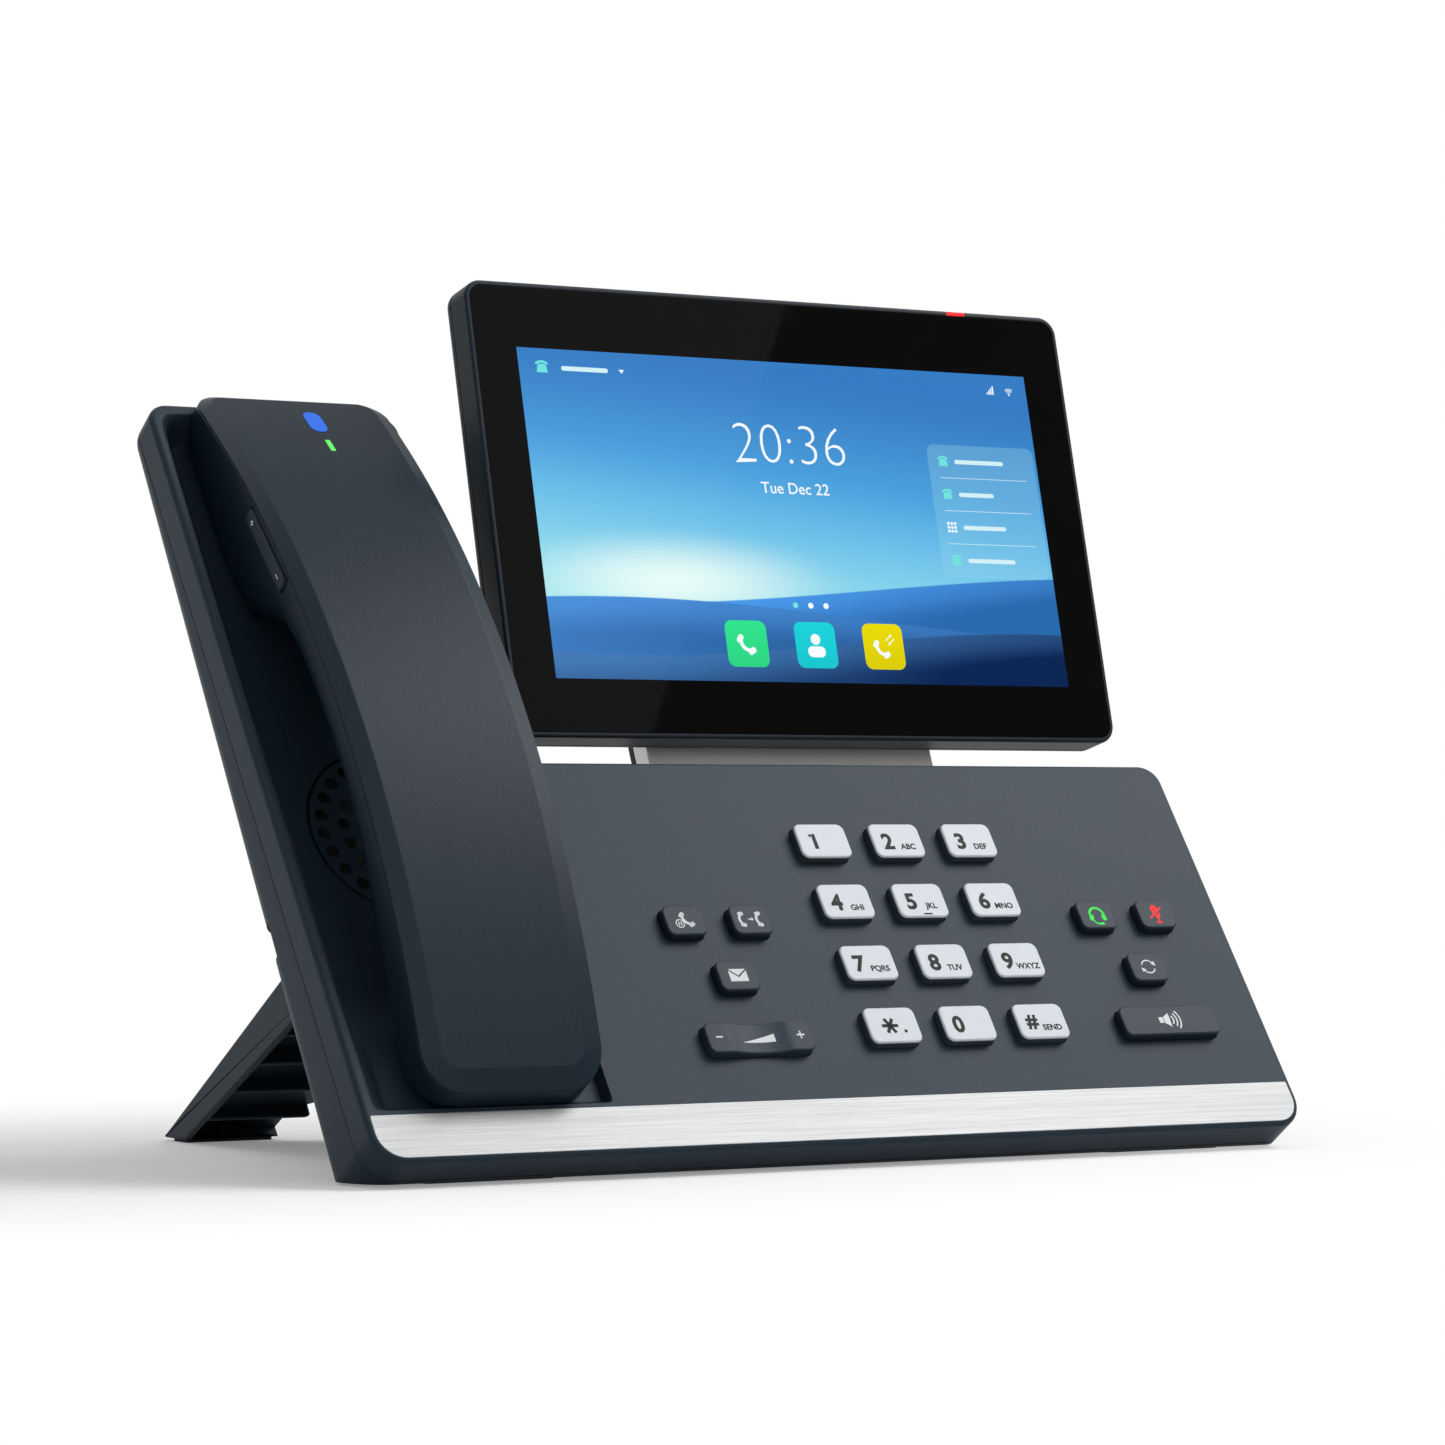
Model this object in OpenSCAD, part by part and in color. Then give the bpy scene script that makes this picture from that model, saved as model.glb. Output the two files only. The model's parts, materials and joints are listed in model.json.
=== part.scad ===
/* [Base] */
// Width of the base across the keypad and the handset strip
base_w = 259; // [257:0.5:264]
// Height of the keypad panel along its slope
panel_h = 110; // [108:0.5:116]
// Height of the handset strip along its slope
strip_h = 217.6; // [215:0.2:221]
// Width of the handset strip above the keypad panel
strip_w = 68; // [67:0.5:72]
// Slope of the face, measured from the desk
face_tilt = 54.65; // [54:0.05:56]
// Height of the face's lower edge above the desk
face_lift = 6.2; // [6:0.1:7]
// Corner radius at the lower corners of the face
low_r = 8; // [6:0.5:9]
// Corner radius at the upper corners of the face
high_r = 5.5; // [4:0.5:7]
// Depth of the front housing down to its parting line
split_d = 8.4; // [8:0.1:9]
// Depth of the rear plane behind the face's lower edge
rear_d = 25.6; // [25:0.1:27]
// Slope of the rear plane against the face
rear_taper = 2.9; // [2.7:0.05:3.1]
// Wall thickness of both base housings
wall = 2.2; // [1.8:0.1:2.4]
// Thickness of the keypad panel
face_t = 2; // [1.6:0.1:2.2]

/* [Trim strip] */
// Lower edge of the metal strip above the face's lower edge
trim_low = 1.1; // [0.8:0.1:1.3]
// Height of the metal strip
trim_h = 11.3; // [10:0.1:11.5]
// Bare rim left beside the metal strip
trim_rim = 1.4; // [1:0.1:2]
// Thickness of the metal strip
trim_t = 1; // [0.6:0.1:1.2]

/* [Cradle] */
// Depth of the cradle below the face
cradle_d = 8; // [7.6:0.1:8.6]
// Width of the rim left of the cradle
cradle_rim = 2; // [1.5:0.1:2.5]
// Width of the cradle's sloping left wall
cradle_slope = 6; // [5:0.5:7]
// Wall thickness under the cradle
tub_t = 1.8; // [1.5:0.1:2]
// Height of the loudspeaker's centre along the slope
speaker_v = 94.5; // [90:0.5:98]
// Diameter of one loudspeaker hole
speaker_hole_d = 3.4; // [2.6:0.2:3.8]
// Radius of the loudspeaker's grille groove
grille_r = 24; // [23:0.5:25]

/* [Keypad] */
// Spacing of the number keys across the panel
key_pitch_u = 21.66; // [19:0.02:23]
// Spacing of the number keys up the panel
key_pitch_v = 17.98; // [16:0.02:18.6]
// Height of the number keys' top row
key_row_v = 84.7; // [83:0.1:90]
// Width of a number key
key_w = 14.5; // [12:0.1:16]
// Height of a number key
key_h = 9.9; // [8:0.1:11]
// Width of a function key
small_w = 10.9; // [9:0.1:12]
// Height of a function key
small_h = 8.3; // [7:0.1:9]
// Width of the speaker key and of the volume rocker
long_w = 29.2; // [26:0.1:31]
// Height that every key stands above the panel
key_rise = 2.5; // [2:0.1:3]
// Corner radius of the keys
key_r = 2; // [1:0.1:2.4]
// Gap between a key and the edge of its hole
key_gap = 0.3; // [0.2:0.05:0.5]
// Travel of a key when it is pressed
key_travel = 1; // [0.6:0.1:1.2]

/* [Handset] */
// Length of the handset
handset_l = 204.5; // [203:0.1:205]
// Width of the handset at mid length
handset_w = 49.4; // [48:0.1:50]
// Widening of the handset over its length
handset_flare = 5.4; // [4:0.1:5.8]
// Radius of the handset's back curve
back_r = 295; // [280:1:320]
// Height of the handset's parting line at its crown
crown_w = 21.5; // [20.5:0.1:23]
// Thickness of the handset's back cover at its edge
cap_t = 1.8; // [1.5:0.1:2.4]
// Radius of the grip's underside
grip_r = 173; // [165:1:182]
// Height of the grip's underside at its crown
grip_w = 9.2; // [8.6:0.1:9.8]
// Wall thickness of the handset
handset_wall = 2; // [1.6:0.1:2.2]
// Gap between the handset and its cradle
cradle_gap = 0.1; // [0.05:0.05:0.25]

/* [Screen] */
// Width of the visible picture
picture_w = 154.2; // [150:0.1:156]
// Height of the visible picture
picture_h = 85.9; // [83:0.1:88]
// Gap between the handset strip and the screen, seen from the front
screen_gap = 9.5; // [8:0.5:12]
// Black border at the sides of the picture
border_side = 11.6; // [10:0.1:12]
// Black border above the picture
border_top = 16.1; // [14:0.1:18]
// Black border below the picture
border_low = 13.7; // [12:0.1:14]
// Width of the rim around the glass
rim_w = 1.3; // [1:0.1:1.8]
// Corner radius of the screen housing
screen_r = 5; // [4:0.5:7]
// Depth of the screen's front housing
frame_d = 8; // [7.6:0.1:9]
// Depth of the whole screen housing
screen_d = 11.6; // [11.2:0.1:13]
// Tilt of the screen, measured from the desk
screen_tilt = 76.1; // [75:0.1:77]

/* [Neck and stand] */
// Width of the neck
neck_w = 86; // [80:0.5:90]
// Thickness of the neck
neck_t = 8.6; // [8:0.1:9.4]
// Tilt of the neck, measured from the desk
neck_tilt = 67; // [65:0.5:68]
// Distance of the tilt axis behind the panel's upper edge
hinge_back = 51.7; // [51:0.1:53]
// Height of the tilt axis above the panel's upper edge
hinge_rise = 37.5; // [37:0.1:40]
// Diameter of the tilt pin
pin_d = 6; // [5:0.1:7]
// Running gap around the tilt pin
pin_gap = 0.05; // [0.02:0.01:0.08]
// Reach of the stand behind the face's lower edge
stand_reach = 172.3; // [168:0.1:178]
// Distance of the stand's side walls from the base's sides
stand_inset = 26.7; // [24:0.1:30]
// Height of the stand's root along the slope
stand_root_v = 88; // [86:0.5:89]
// Wall thickness of the stand
stand_wall = 2.2; // [1.8:0.1:3]

/* [Hidden] */
$fn = 96;

housing_colour = [0.20, 0.25, 0.30];
dark_colour = [0.10, 0.13, 0.17];
board_colour = [0.05, 0.35, 0.18];
steel_colour = [0.70, 0.71, 0.73];
over = 1;

// Outline of the screen
glass_w = picture_w + 2 * border_side;
glass_h = picture_h + border_top + border_low;
screen_w = glass_w + 2 * rim_w;
screen_h = glass_h + 2 * rim_w;

// Shared positions on the face: u runs right, v runs up the slope, w stands off the face.
panel_cu = strip_w + screen_gap + screen_w / 2;
rear_slope = tan(rear_taper);
foot_t = 0.6;
facet_w0 = -(face_lift - foot_t) / cos(face_tilt);
facet_slope = -tan(face_tilt);
pocket_low_v = trim_low + trim_h + 0.8;
ledge_d = 3.1;
ledge_v0 = pocket_low_v + 3.4;
ledge_v1 = ledge_v0 + 9.4;
pocket_floor_v = 50;

// Handset values
handset_u = strip_w / 2 + 3;
handset_v0 = pocket_low_v + 0.8;
handset_v1 = handset_v0 + handset_l;
handset_vm = handset_v0 + 98;
grip_vm = handset_vm - 5;
mouth_w = -ledge_d + cradle_gap;
ear_w = -cradle_d + cradle_gap;
boss_v0 = handset_v1 - 60.5;
handset_mid_v = 130;
hs_low_r = 10;
hs_high_r = 7;
hs_screw_spots = [[handset_u, handset_v0 + 16], [handset_u - 6, handset_v1 - 14.5]];
hs_boss_r = 3.2;
hs_boss_h = 5;
hs_post_spots = [for (u = [-10, 10], v = [-40, 36]) [handset_u + u, handset_vm + v]];
pairing_v = handset_v1 - 11.5;
pairing_r = 2.3;
pairing_half = 2.2;
charge_w = 1.3;
charge_h = 4.6;
cap_edge = 0.6;
cap_chamfer = 4.5;
charge_v = handset_v1 - 21.5;
hs_light_u = handset_u + 3.2;
hs_rocker_v = handset_v1 - 57;
hs_rocker_w = back_height(hs_rocker_v) - 3.6;
hs_rocker_l = 26;
hs_rocker_h = 4;
hs_rocker_t = 2;
hs_rocker_turn = 10;
earpiece_v = handset_v1 - 32.5;
ear_hole_pitch = 6;
mic_v = handset_v0 + 6.5;
hs_board_size = [28, 104];
battery_size = [22, 60, 3.4];
hs_board_t = 1.2;
hs_board_w = crown_w - 6.8;

// Cradle values
pocket_top_v = handset_v1 - 3.5;
cradle_u0 = cradle_rim;
cradle_u1 = strip_w - 1.5;

// Screws of the base values
screw_r = 1.2;
pilot_r = 1.25;
clear_r = 1.6;
head_r = 2.7;
head_t = 1.8;
boss_r = 3.6;
strip_split = cradle_d + tub_t + 1.4;
boss_inset = 6.8;
panel_screw_u0 = strip_w + 10.5;
panel_bite = 4.6;
strip_bite = 2.4;
// Each spot holds u, v, depth of the joint face, depth of the boss's root and the screw's bite.
screw_spots = [
    for (u = [panel_screw_u0, base_w - boss_inset], v = [18.5, panel_h - boss_inset])
        [u, v, split_d, face_t, panel_bite],
    for (v = [58, 150, 196])
        [handset_u, v, strip_split, cradle_d + tub_t / 2, strip_bite]
];

// Keys values
small_pitch = 18.45;
left_cu = panel_cu - 59.8;
right_cu = (panel_cu + key_pitch_u + key_w / 2 + base_w) / 2 + 0.195;
row_a = 61.7;
row_b = 45.8;
rocker_v = 28.6;
speaker_key_v = 29.9;
flange = 0.9;
flange_t = 0.8;
seat_gap = 0.1;
key_bottom = -(face_t + seat_gap + flange_t);
rocker_flange_w = 8;
rocker_dip = 1.1;
rocker_dip_r = 30;
// Centres and sizes of every key hole.
number_spots = [
    for (row = [0:3], col = [-1:1])
        [panel_cu + col * key_pitch_u, key_row_v - row * key_pitch_v, key_w, key_h]
];
function_spots = [
    [left_cu - small_pitch / 2, row_a, small_w, small_h],
    [left_cu + small_pitch / 2, row_a, small_w, small_h],
    [left_cu, row_b, small_w, small_h],
    [right_cu - small_pitch / 2, row_a, small_w, small_h],
    [right_cu + small_pitch / 2, row_a, small_w, small_h],
    [right_cu, row_b, small_w, small_h],
    [right_cu, speaker_key_v, long_w, small_h]
];
rocker_spot = [left_cu, rocker_v, long_w, small_h];
key_spots = concat(number_spots, function_spots, [rocker_spot]);

// Keypad electronics values
port_u0 = panel_cu - 66;
port_u1 = panel_cu + 12;
port_v0 = 12;
port_v1 = 34;
port_roof = split_d + 1.4;
board_t = 1.4;
membrane_t = 1;
dome_gap = 0.7;
board_top = key_travel + dome_gap + membrane_t - key_bottom;
main_top = board_top + board_t + 0.8;
post_r = 2.4;
board_u0 = strip_w + 19.5;
board_u1 = base_w - 11.5;
board_v0 = 20;
board_v1 = panel_h - 12;
board_cu = (board_u0 + board_u1) / 2;
board_cv = (board_v0 + board_v1) / 2;
post_inset = 4.5;
keypad_posts = [
    for (u = [board_u0 + post_inset, board_u1 - post_inset], v = [board_v0 + post_inset, board_v1 - post_inset])
        [u, v]
];
main_u0 = board_u0 + 11;
main_u1 = board_u1 - 11;
main_v0 = port_v1 + 0.4;
main_v1 = board_v1 + 4;
main_posts = [
    for (u = [main_u0 + post_inset, main_u1 - post_inset], v = [main_v1 - 30, main_v1 - post_inset])
        [u, v]
];
chip_spots = [[52, 34, 16], [84, 40, 12], [106, 22, 9]];
chip_t = 1.4;
power_bore_r = 2.8;
power_bore_l = 9;

// Base values
grille_ring = 5.6;
grille_rings = [4, 10, 17, 24];
grille_floor = 0.6;
screw_floor = 3;
socket_w = 16;
socket_l = 18;
socket_top = main_top + board_t;
socket_h = 11.4;
socket_gap = 0.1;
power_w = 10;
lan_u = port_u0 + 14;
pc_u = lan_u + 22;
power_u = pc_u + 22;
slot_v = 66;
hook_w = 18;
hook_h = 5;
hook_d = 3.6;
hook_gap = 0.25;
hook_spots = [stand_inset + 16, base_w - stand_inset - 16 - hook_w];
hook_v = stand_root_v - 10;
pad_w = 34;
pad_h = 9;
pad_y = to_world(0, facet_w0)[0] + 5;

// Loudspeaker under the cradle values
speaker_r = 26;
speaker_d = 7.4;
cone_t = 0.8;
cone_h = 3.2;
dust_cap_r = 7;
contact_v = ledge_v0 + 4.7;
contact_r = 1.5;
contact_spots = [handset_u - 5, handset_u + 5];

// Stand values
stand_low_v = 73;
stand_lip = 0.8;
pad_drop = 0.8;
stand_heel = 11.6;
arch_edge = stand_inset + 26;
arch_rise = 24;
rib_t = 1.4;
rib_pitch = 16.5;
stand_ribs = 5;
root_top = to_world(stand_root_v, rear_w(stand_root_v));
root_low = to_world(stand_low_v, rear_w(stand_low_v));
heel_z = -face_lift + pad_drop;
stand_back = [stand_reach, heel_z + stand_lip];
stand_angle = atan2(root_top[1] - stand_back[1], stand_back[0] - root_top[0]);
stand_len = norm(stand_back - root_top);

// Neck values
hinge_y = to_world(panel_h, 0)[0] + hinge_back;
hinge_z = to_world(panel_h, 0)[1] + hinge_rise;
barrel_r = 7;
neck_u0 = panel_cu - neck_w / 2;
neck_u1 = panel_cu + neck_w / 2;
neck_root_v0 = stand_root_v + 3;
neck_root_v1 = panel_h - 4;
neck_cover_t = 1.9;
neck_up = [cos(neck_tilt), sin(neck_tilt)];
neck_out = [-sin(neck_tilt), cos(neck_tilt)];
hinge_at = [hinge_y, hinge_z];
neck_rear_len = 60;
neck_front_len = 46;
neck_root_low = to_world(neck_root_v0, rear_w(neck_root_v0));
neck_root_high = to_world(neck_root_v1, rear_w(neck_root_v1));
pocket_d = 3.6;
neck_edge = 5;
neck_screw_spots = [
    for (u = [neck_u0 + 10, neck_u1 - 10])
        [u, (neck_root_v0 + neck_root_v1) / 2]
];
neck_bite = 7;

// Screen values
glass_t = 1;
glass_gap = 0.1;
screen_wall = 1.8;
axis_v = border_low + rim_w + 24.3;
axis_w = 28.2;
ear_t = 9;
ear_r = 8.5;
ear_gap = 0.3;
ear_half = 11;
lcd_t = 3.4;
lcd_low = border_low + rim_w - 3.6;
screen_screw_spots = [
    for (x = [6.2, screen_w - 6.2], y = [6.2, screen_h - 6.2])
        [x, y]
];
glass_seat = 2.2;
light_w = 5.6;
light_x = screen_w - 32;
light_h = 2.3;
light_low = glass_t + 0.1 + light_h;
screen_board_t = 1.2;
pin_fix_gap = 0.01;
pin_len = neck_w + 2 * (ear_t + ear_gap) - 2;

function rear_w(v) = rear_slope * v - rear_d;
function to_world(v, w) = [
    v * cos(face_tilt) - w * sin(face_tilt),
    v * sin(face_tilt) + w * cos(face_tilt)
];

// Places what is drawn in face coordinates into the part's own frame.
module on_desk() {
    translate([-base_w / 2, -stand_reach / 2, face_lift])
        children();
}

module on_face() {
    on_desk()
        rotate([face_tilt, 0, 0])
            children();
}

// Extrudes a side profile across the base, from one u to another.
module across(from, to) {
    translate([from, 0, 0])
        rotate([90, 0, 90])
            linear_extrude(to - from)
                children();
}

// Extrudes a cross-section up the face, from one v to another.
module along(from, to) {
    translate([0, to, 0])
        rotate([90, 0, 0])
            linear_extrude(to - from)
                children();
}

// Extrudes an outline between two heights over the face.
module between(low, high) {
    translate([0, 0, low])
        linear_extrude(high - low)
            children();
}

// Cuts one round corner, at (x, y) with the rectangle lying towards (dx, dy).
module corner_cut(x, y, dx, dy, r) {
    difference() {
        translate([dx > 0 ? x - over : x - r, dy > 0 ? y - over : y - r])
            square(r + over);
        translate([x + dx * r, y + dy * r])
            circle(r);
    }
}

// Rectangle with one radius at its lower corners and another at its upper corners.
module rounded_rect(x0, y0, x1, y1, r_low, r_high) {
    difference() {
        translate([x0, y0])
            square([x1 - x0, y1 - y0]);
        corner_cut(x0, y0, 1, 1, r_low);
        corner_cut(x1, y0, -1, 1, r_low);
        corner_cut(x0, y1, 1, -1, r_high);
        corner_cut(x1, y1, -1, -1, r_high);
    }
}

module centred_rect(cx, cy, w, h, r) {
    rounded_rect(cx - w / 2, cy - h / 2, cx + w / 2, cy + h / 2, r, r);
}

// Outline of the base: the panel with the taller handset strip on its left.
module base_outline(inset) {
    rounded_rect(inset, inset, base_w - inset, panel_h - inset, low_r - inset, high_r - inset);
    difference() {
        rounded_rect(inset, inset, strip_w - inset, strip_h - inset, low_r - inset, high_r - inset);
        translate([strip_w - low_r - inset, -over])
            square([low_r + over, low_r + 2 * over]);
    }
}

// Side profile of the base below the parting line.
module rear_profile(inset, top) {
    f = facet_w0 + inset / cos(face_tilt);
    v_foot = (f + rear_d - inset) / (rear_slope - facet_slope);
    polygon([
        [0, top],
        [strip_h, top],
        [strip_h, rear_w(strip_h) + inset],
        [v_foot, rear_w(v_foot) + inset],
        [0, f]
    ]);
}

// ---- Cradle ----

module cradle_section(grow) {
    polygon([
        [cradle_u0 - grow, over],
        [cradle_u0 - grow, 0],
        [cradle_u0 + cradle_slope - grow, -cradle_d - grow],
        [cradle_u1 - 2.4 + grow / 2, -cradle_d - grow],
        [cradle_u1 + grow / 2, 0],
        [cradle_u1 + grow / 2, over]
    ]);
}

module cradle_profile(grow) {
    polygon([
        [pocket_low_v - grow / 2, over],
        [pocket_low_v - grow / 2, 0],
        [ledge_v0 - grow, -ledge_d - grow],
        [ledge_v1 - grow, -ledge_d - grow],
        [pocket_floor_v - grow, -cradle_d - grow],
        [pocket_top_v - 5.4 + grow, -cradle_d - grow],
        [pocket_top_v + grow, 0],
        [pocket_top_v + grow, over]
    ]);
}

module cradle_space(grow, top) {
    intersection() {
        across(0, strip_w)
            cradle_profile(grow);
        along(0, strip_h)
            cradle_section(grow);
        between(-rear_d, top)
            base_outline(0);
    }
}

// ---- Keys ----

module key_solid(spot) {
    on_face() {
        between(key_bottom + flange_t, key_rise)
            centred_rect(spot[0], spot[1], spot[2], spot[3], key_r);
        between(key_bottom, key_bottom + flange_t)
            centred_rect(spot[0], spot[1], spot[2] + 2 * flange, spot[3] + 2 * flange, key_r);
    }
}

module number_key(index) {
    color([0.86, 0.88, 0.90])
        key_solid(number_spots[index]);
}

module function_key(index) {
    color(dark_colour)
        key_solid(function_spots[index]);
}

// ---- Base ----

module grille_holes() {
    for (ring = [0:3])
        for (k = [0:grille_rings[ring] - 1])
            rotate([0, 0, 360 * k / grille_rings[ring]])
                translate([grille_ring * (ring + 0.6), 0, -cradle_d - tub_t - over])
                    cylinder(d = speaker_hole_d, h = tub_t + 2 * over, $fn = 24);
}

module top_housing() {
    color(housing_colour)
        on_face()
            difference() {
                union() {
                    difference() {
                        between(-split_d, 0)
                            base_outline(0);
                        between(-split_d - over, -face_t)
                            base_outline(wall);
                    }
                    cradle_space(tub_t, 0);
                    for (s = screw_spots)
                        translate([s[0], s[1], -s[2]])
                            cylinder(r = boss_r, h = s[2] - s[3]);
                }
                cradle_space(0, over);
                between(-trim_t, over)
                    trim_outline(0.05);
                for (s = key_spots)
                    between(-face_t - over, over)
                        centred_rect(s[0], s[1], s[2] + 2 * key_gap, s[3] + 2 * key_gap, key_r + key_gap);
                translate([handset_u, speaker_v, 0]) {
                    grille_holes();
                    translate([0, 0, -cradle_d - grille_floor])
                        difference() {
                            cylinder(r = grille_r, h = grille_floor + over);
                            translate([0, 0, -over])
                                cylinder(r = grille_r - 0.8, h = grille_floor + 3 * over);
                        }
                }
                for (s = contact_spots)
                    translate([s, contact_v, -ledge_d - tub_t - over])
                        cylinder(r = contact_r + 0.05, h = tub_t + 2 * over, $fn = 32);
                for (s = screw_spots)
                    translate([s[0], s[1], -s[2] - over])
                        cylinder(r = pilot_r, h = s[4] + over, $fn = 32);
            }
}

module trim_outline(grow) {
    rounded_rect(
        trim_rim - grow, trim_low - grow,
        base_w - trim_rim + grow, trim_low + trim_h + grow,
        low_r - trim_rim + grow, 0.4 + grow
    );
}

module trim_strip() {
    color(steel_colour)
        on_face()
            between(-trim_t, 0)
                trim_outline(0);
}

module socket_window(cu, width) {
    translate([cu - width / 2 - socket_gap, port_v1 - wall - over, -socket_top - socket_h - socket_gap])
        cube([width + 2 * socket_gap, wall + 2 * over, socket_h + 2 * socket_gap]);
}

module base_posts() {
    for (s = screw_spots)
        translate([s[0], s[1], -rear_d])
            cylinder(r = boss_r, h = rear_d - s[2]);
    for (s = keypad_posts)
        translate([s[0], s[1], -rear_d])
            cylinder(r = post_r, h = rear_d - board_top - board_t);
    for (s = main_posts)
        translate([s[0], s[1], -rear_d])
            cylinder(r = post_r, h = rear_d - main_top - board_t);
    translate([handset_u, speaker_v, -rear_d])
        difference() {
            cylinder(r = speaker_r - 2, h = rear_d - cradle_d - tub_t - speaker_d);
            translate([0, 0, -over])
                cylinder(r = speaker_r - 5, h = rear_d);
        }
}

module bottom_housing() {
    color(housing_colour)
        on_face()
            difference() {
                union() {
                    difference() {
                        intersection() {
                            between(-rear_d - over, -split_d)
                                base_outline(0);
                            across(0, base_w)
                                rear_profile(0, -split_d);
                        }
                        intersection() {
                            between(-rear_d - over, over)
                                base_outline(wall);
                            across(0, base_w)
                                rear_profile(wall, over);
                        }
                    }
                    intersection() {
                        union() {
                            base_posts();
                            translate([port_u0 - wall, port_v0 - wall, -rear_d])
                                cube([
                                    port_u1 - port_u0 + 2 * wall,
                                    port_v1 - port_v0 + wall,
                                    rear_d - port_roof + wall / 2
                                ]);
                        }
                        across(0, base_w)
                            rear_profile(wall / 2, 0);
                    }
                }
                translate([port_u0, port_v0, -rear_d - over])
                    cube([port_u1 - port_u0, port_v1 - port_v0 - wall, rear_d + over - port_roof]);
                socket_window(lan_u, socket_w);
                socket_window(pc_u, socket_w);
                socket_window(power_u, power_w);
                for (s = screw_spots) {
                    translate([s[0], s[1], -rear_d - over])
                        cylinder(r = clear_r, h = rear_d, $fn = 32);
                    translate([s[0], s[1], -rear_d - over])
                        cylinder(r = head_r + 0.3, h = rear_d + over - s[2] - screw_floor, $fn = 48);
                }
                for (u = hook_spots)
                    translate([u - hook_gap, hook_v - hook_gap, rear_w(hook_v) - over - 2])
                        cube([hook_w + 2 * hook_gap, hook_h + 2 * hook_gap, wall + 2 * over + 2]);
                for (s = neck_screw_spots)
                    translate([s[0], s[1], rear_w(s[1]) - over])
                        cylinder(r = clear_r, h = wall + 2 * over, $fn = 32);
                // Spare stand slots on both sides
                for (u = [-over, base_w - 2.4])
                    translate([u, slot_v, rear_w(slot_v) + 1])
                        cube([2.4 + over, 9, 5]);
            }
}

module housing_screws() {
    color(steel_colour)
        on_face()
            for (s = screw_spots)
                translate([s[0], s[1], -s[2]]) {
                    translate([0, 0, -screw_floor])
                        cylinder(r = screw_r, h = screw_floor + s[4] - 0.4, $fn = 32);
                    translate([0, 0, -screw_floor - head_t])
                        difference() {
                            cylinder(r = head_r, h = head_t, $fn = 48);
                            translate([-head_r * 0.6, -0.4, -over])
                                cube([head_r * 1.2, 0.8, over + 0.9]);
                            translate([-0.4, -head_r * 0.6, -over])
                                cube([0.8, head_r * 1.2, over + 0.9]);
                        }
                }
}

module front_feet() {
    color([0.06, 0.06, 0.07])
        on_desk()
            for (u = [low_r + 10, base_w - low_r - 10 - pad_w])
                translate([u, pad_y, -face_lift])
                    linear_extrude(foot_t)
                        rounded_rect(0, 0, pad_w, pad_h, 2, 2);
}

// ---- Loudspeaker under the cradle ----

module loudspeaker_frame() {
    color(dark_colour)
        on_face()
            translate([handset_u, speaker_v, -cradle_d - tub_t - speaker_d])
                difference() {
                    union() {
                        cylinder(r = speaker_r - 4, h = speaker_d - 2);
                        translate([0, 0, speaker_d - 2])
                            cylinder(r = speaker_r, h = 2);
                    }
                    translate([0, 0, speaker_d - 4.4])
                        cylinder(r = speaker_r - 6, h = 5.4);
                }
}

module loudspeaker_cone() {
    color([0.25, 0.25, 0.27])
        on_face()
            translate([handset_u, speaker_v, -cradle_d - tub_t - 4.4])
                difference() {
                    cylinder(r1 = dust_cap_r, r2 = speaker_r - 6.1, h = cone_h);
                    translate([0, 0, cone_t])
                        cylinder(r1 = dust_cap_r, r2 = speaker_r - 6.1, h = cone_h);
                }
}

module charge_contacts() {
    color([0.85, 0.68, 0.30])
        on_face()
            for (u = contact_spots)
                translate([u, contact_v, -ledge_d - tub_t - 1.4]) {
                    cylinder(r = contact_r, h = tub_t + 1.4, $fn = 32);
                    cylinder(r = contact_r + 0.8, h = 1.4, $fn = 32);
                }
}

// ---- Keypad electronics ----

module keypad_membrane() {
    color([0.75, 0.77, 0.78])
        on_face()
            between(-board_top, -board_top + membrane_t)
                centred_rect(board_cu, board_cv, board_u1 - board_u0 - 4, board_v1 - board_v0 - 2, 2);
}

module keypad_board() {
    color(board_colour)
        on_face()
            between(-board_top - board_t, -board_top)
                centred_rect(board_cu, board_cv, board_u1 - board_u0, board_v1 - board_v0, 2);
}

module main_board() {
    color(board_colour)
        on_face() {
            between(-main_top - board_t, -main_top)
                rounded_rect(main_u0, main_v0, main_u1, main_v1, 2, 2);
            for (c = chip_spots)
                between(-main_top - board_t - chip_t, -main_top - board_t)
                    centred_rect(main_u0 + c[0], main_v0 + c[1], c[2], c[2], 0.5);
        }
}

module socket_block(cu, width) {
    translate([cu - width / 2, port_v1 - wall, -socket_top - socket_h])
        cube([width, socket_l, socket_h]);
}

module network_socket(cu) {
    color([0.08, 0.08, 0.09])
        on_face()
            difference() {
                socket_block(cu, socket_w);
                translate([cu - 5.9, port_v1 - wall - over, -socket_top - socket_h + 1.6])
                    cube([11.8, 14 + over, 7.2]);
                translate([cu - 3.2, port_v1 - wall - over, -socket_top - 3])
                    cube([6.4, 10 + over, 1.6]);
            }
}

module lan_socket() {
    network_socket(lan_u);
}

module pc_socket() {
    network_socket(pc_u);
}

module power_socket() {
    color([0.08, 0.08, 0.09])
        on_face()
            difference() {
                socket_block(power_u, power_w);
                translate([power_u, port_v1 - wall + power_bore_l, -socket_top - socket_h / 2])
                    rotate([90, 0, 0])
                        cylinder(r = power_bore_r, h = power_bore_l + over);
            }
}

// ---- Stand ----

module stand_profile() {
    polygon([
        root_top,
        stand_back,
        [stand_reach, heel_z],
        [stand_reach - stand_heel, heel_z],
        root_low
    ]);
}

// Frame of the stand's rear face: x runs across, y runs up it from the heel, z points behind it.
module on_stand() {
    translate([0, stand_back[0], stand_back[1]])
        rotate([-stand_angle, 0, 0])
            mirror([0, 1, 0])
                children();
}

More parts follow.
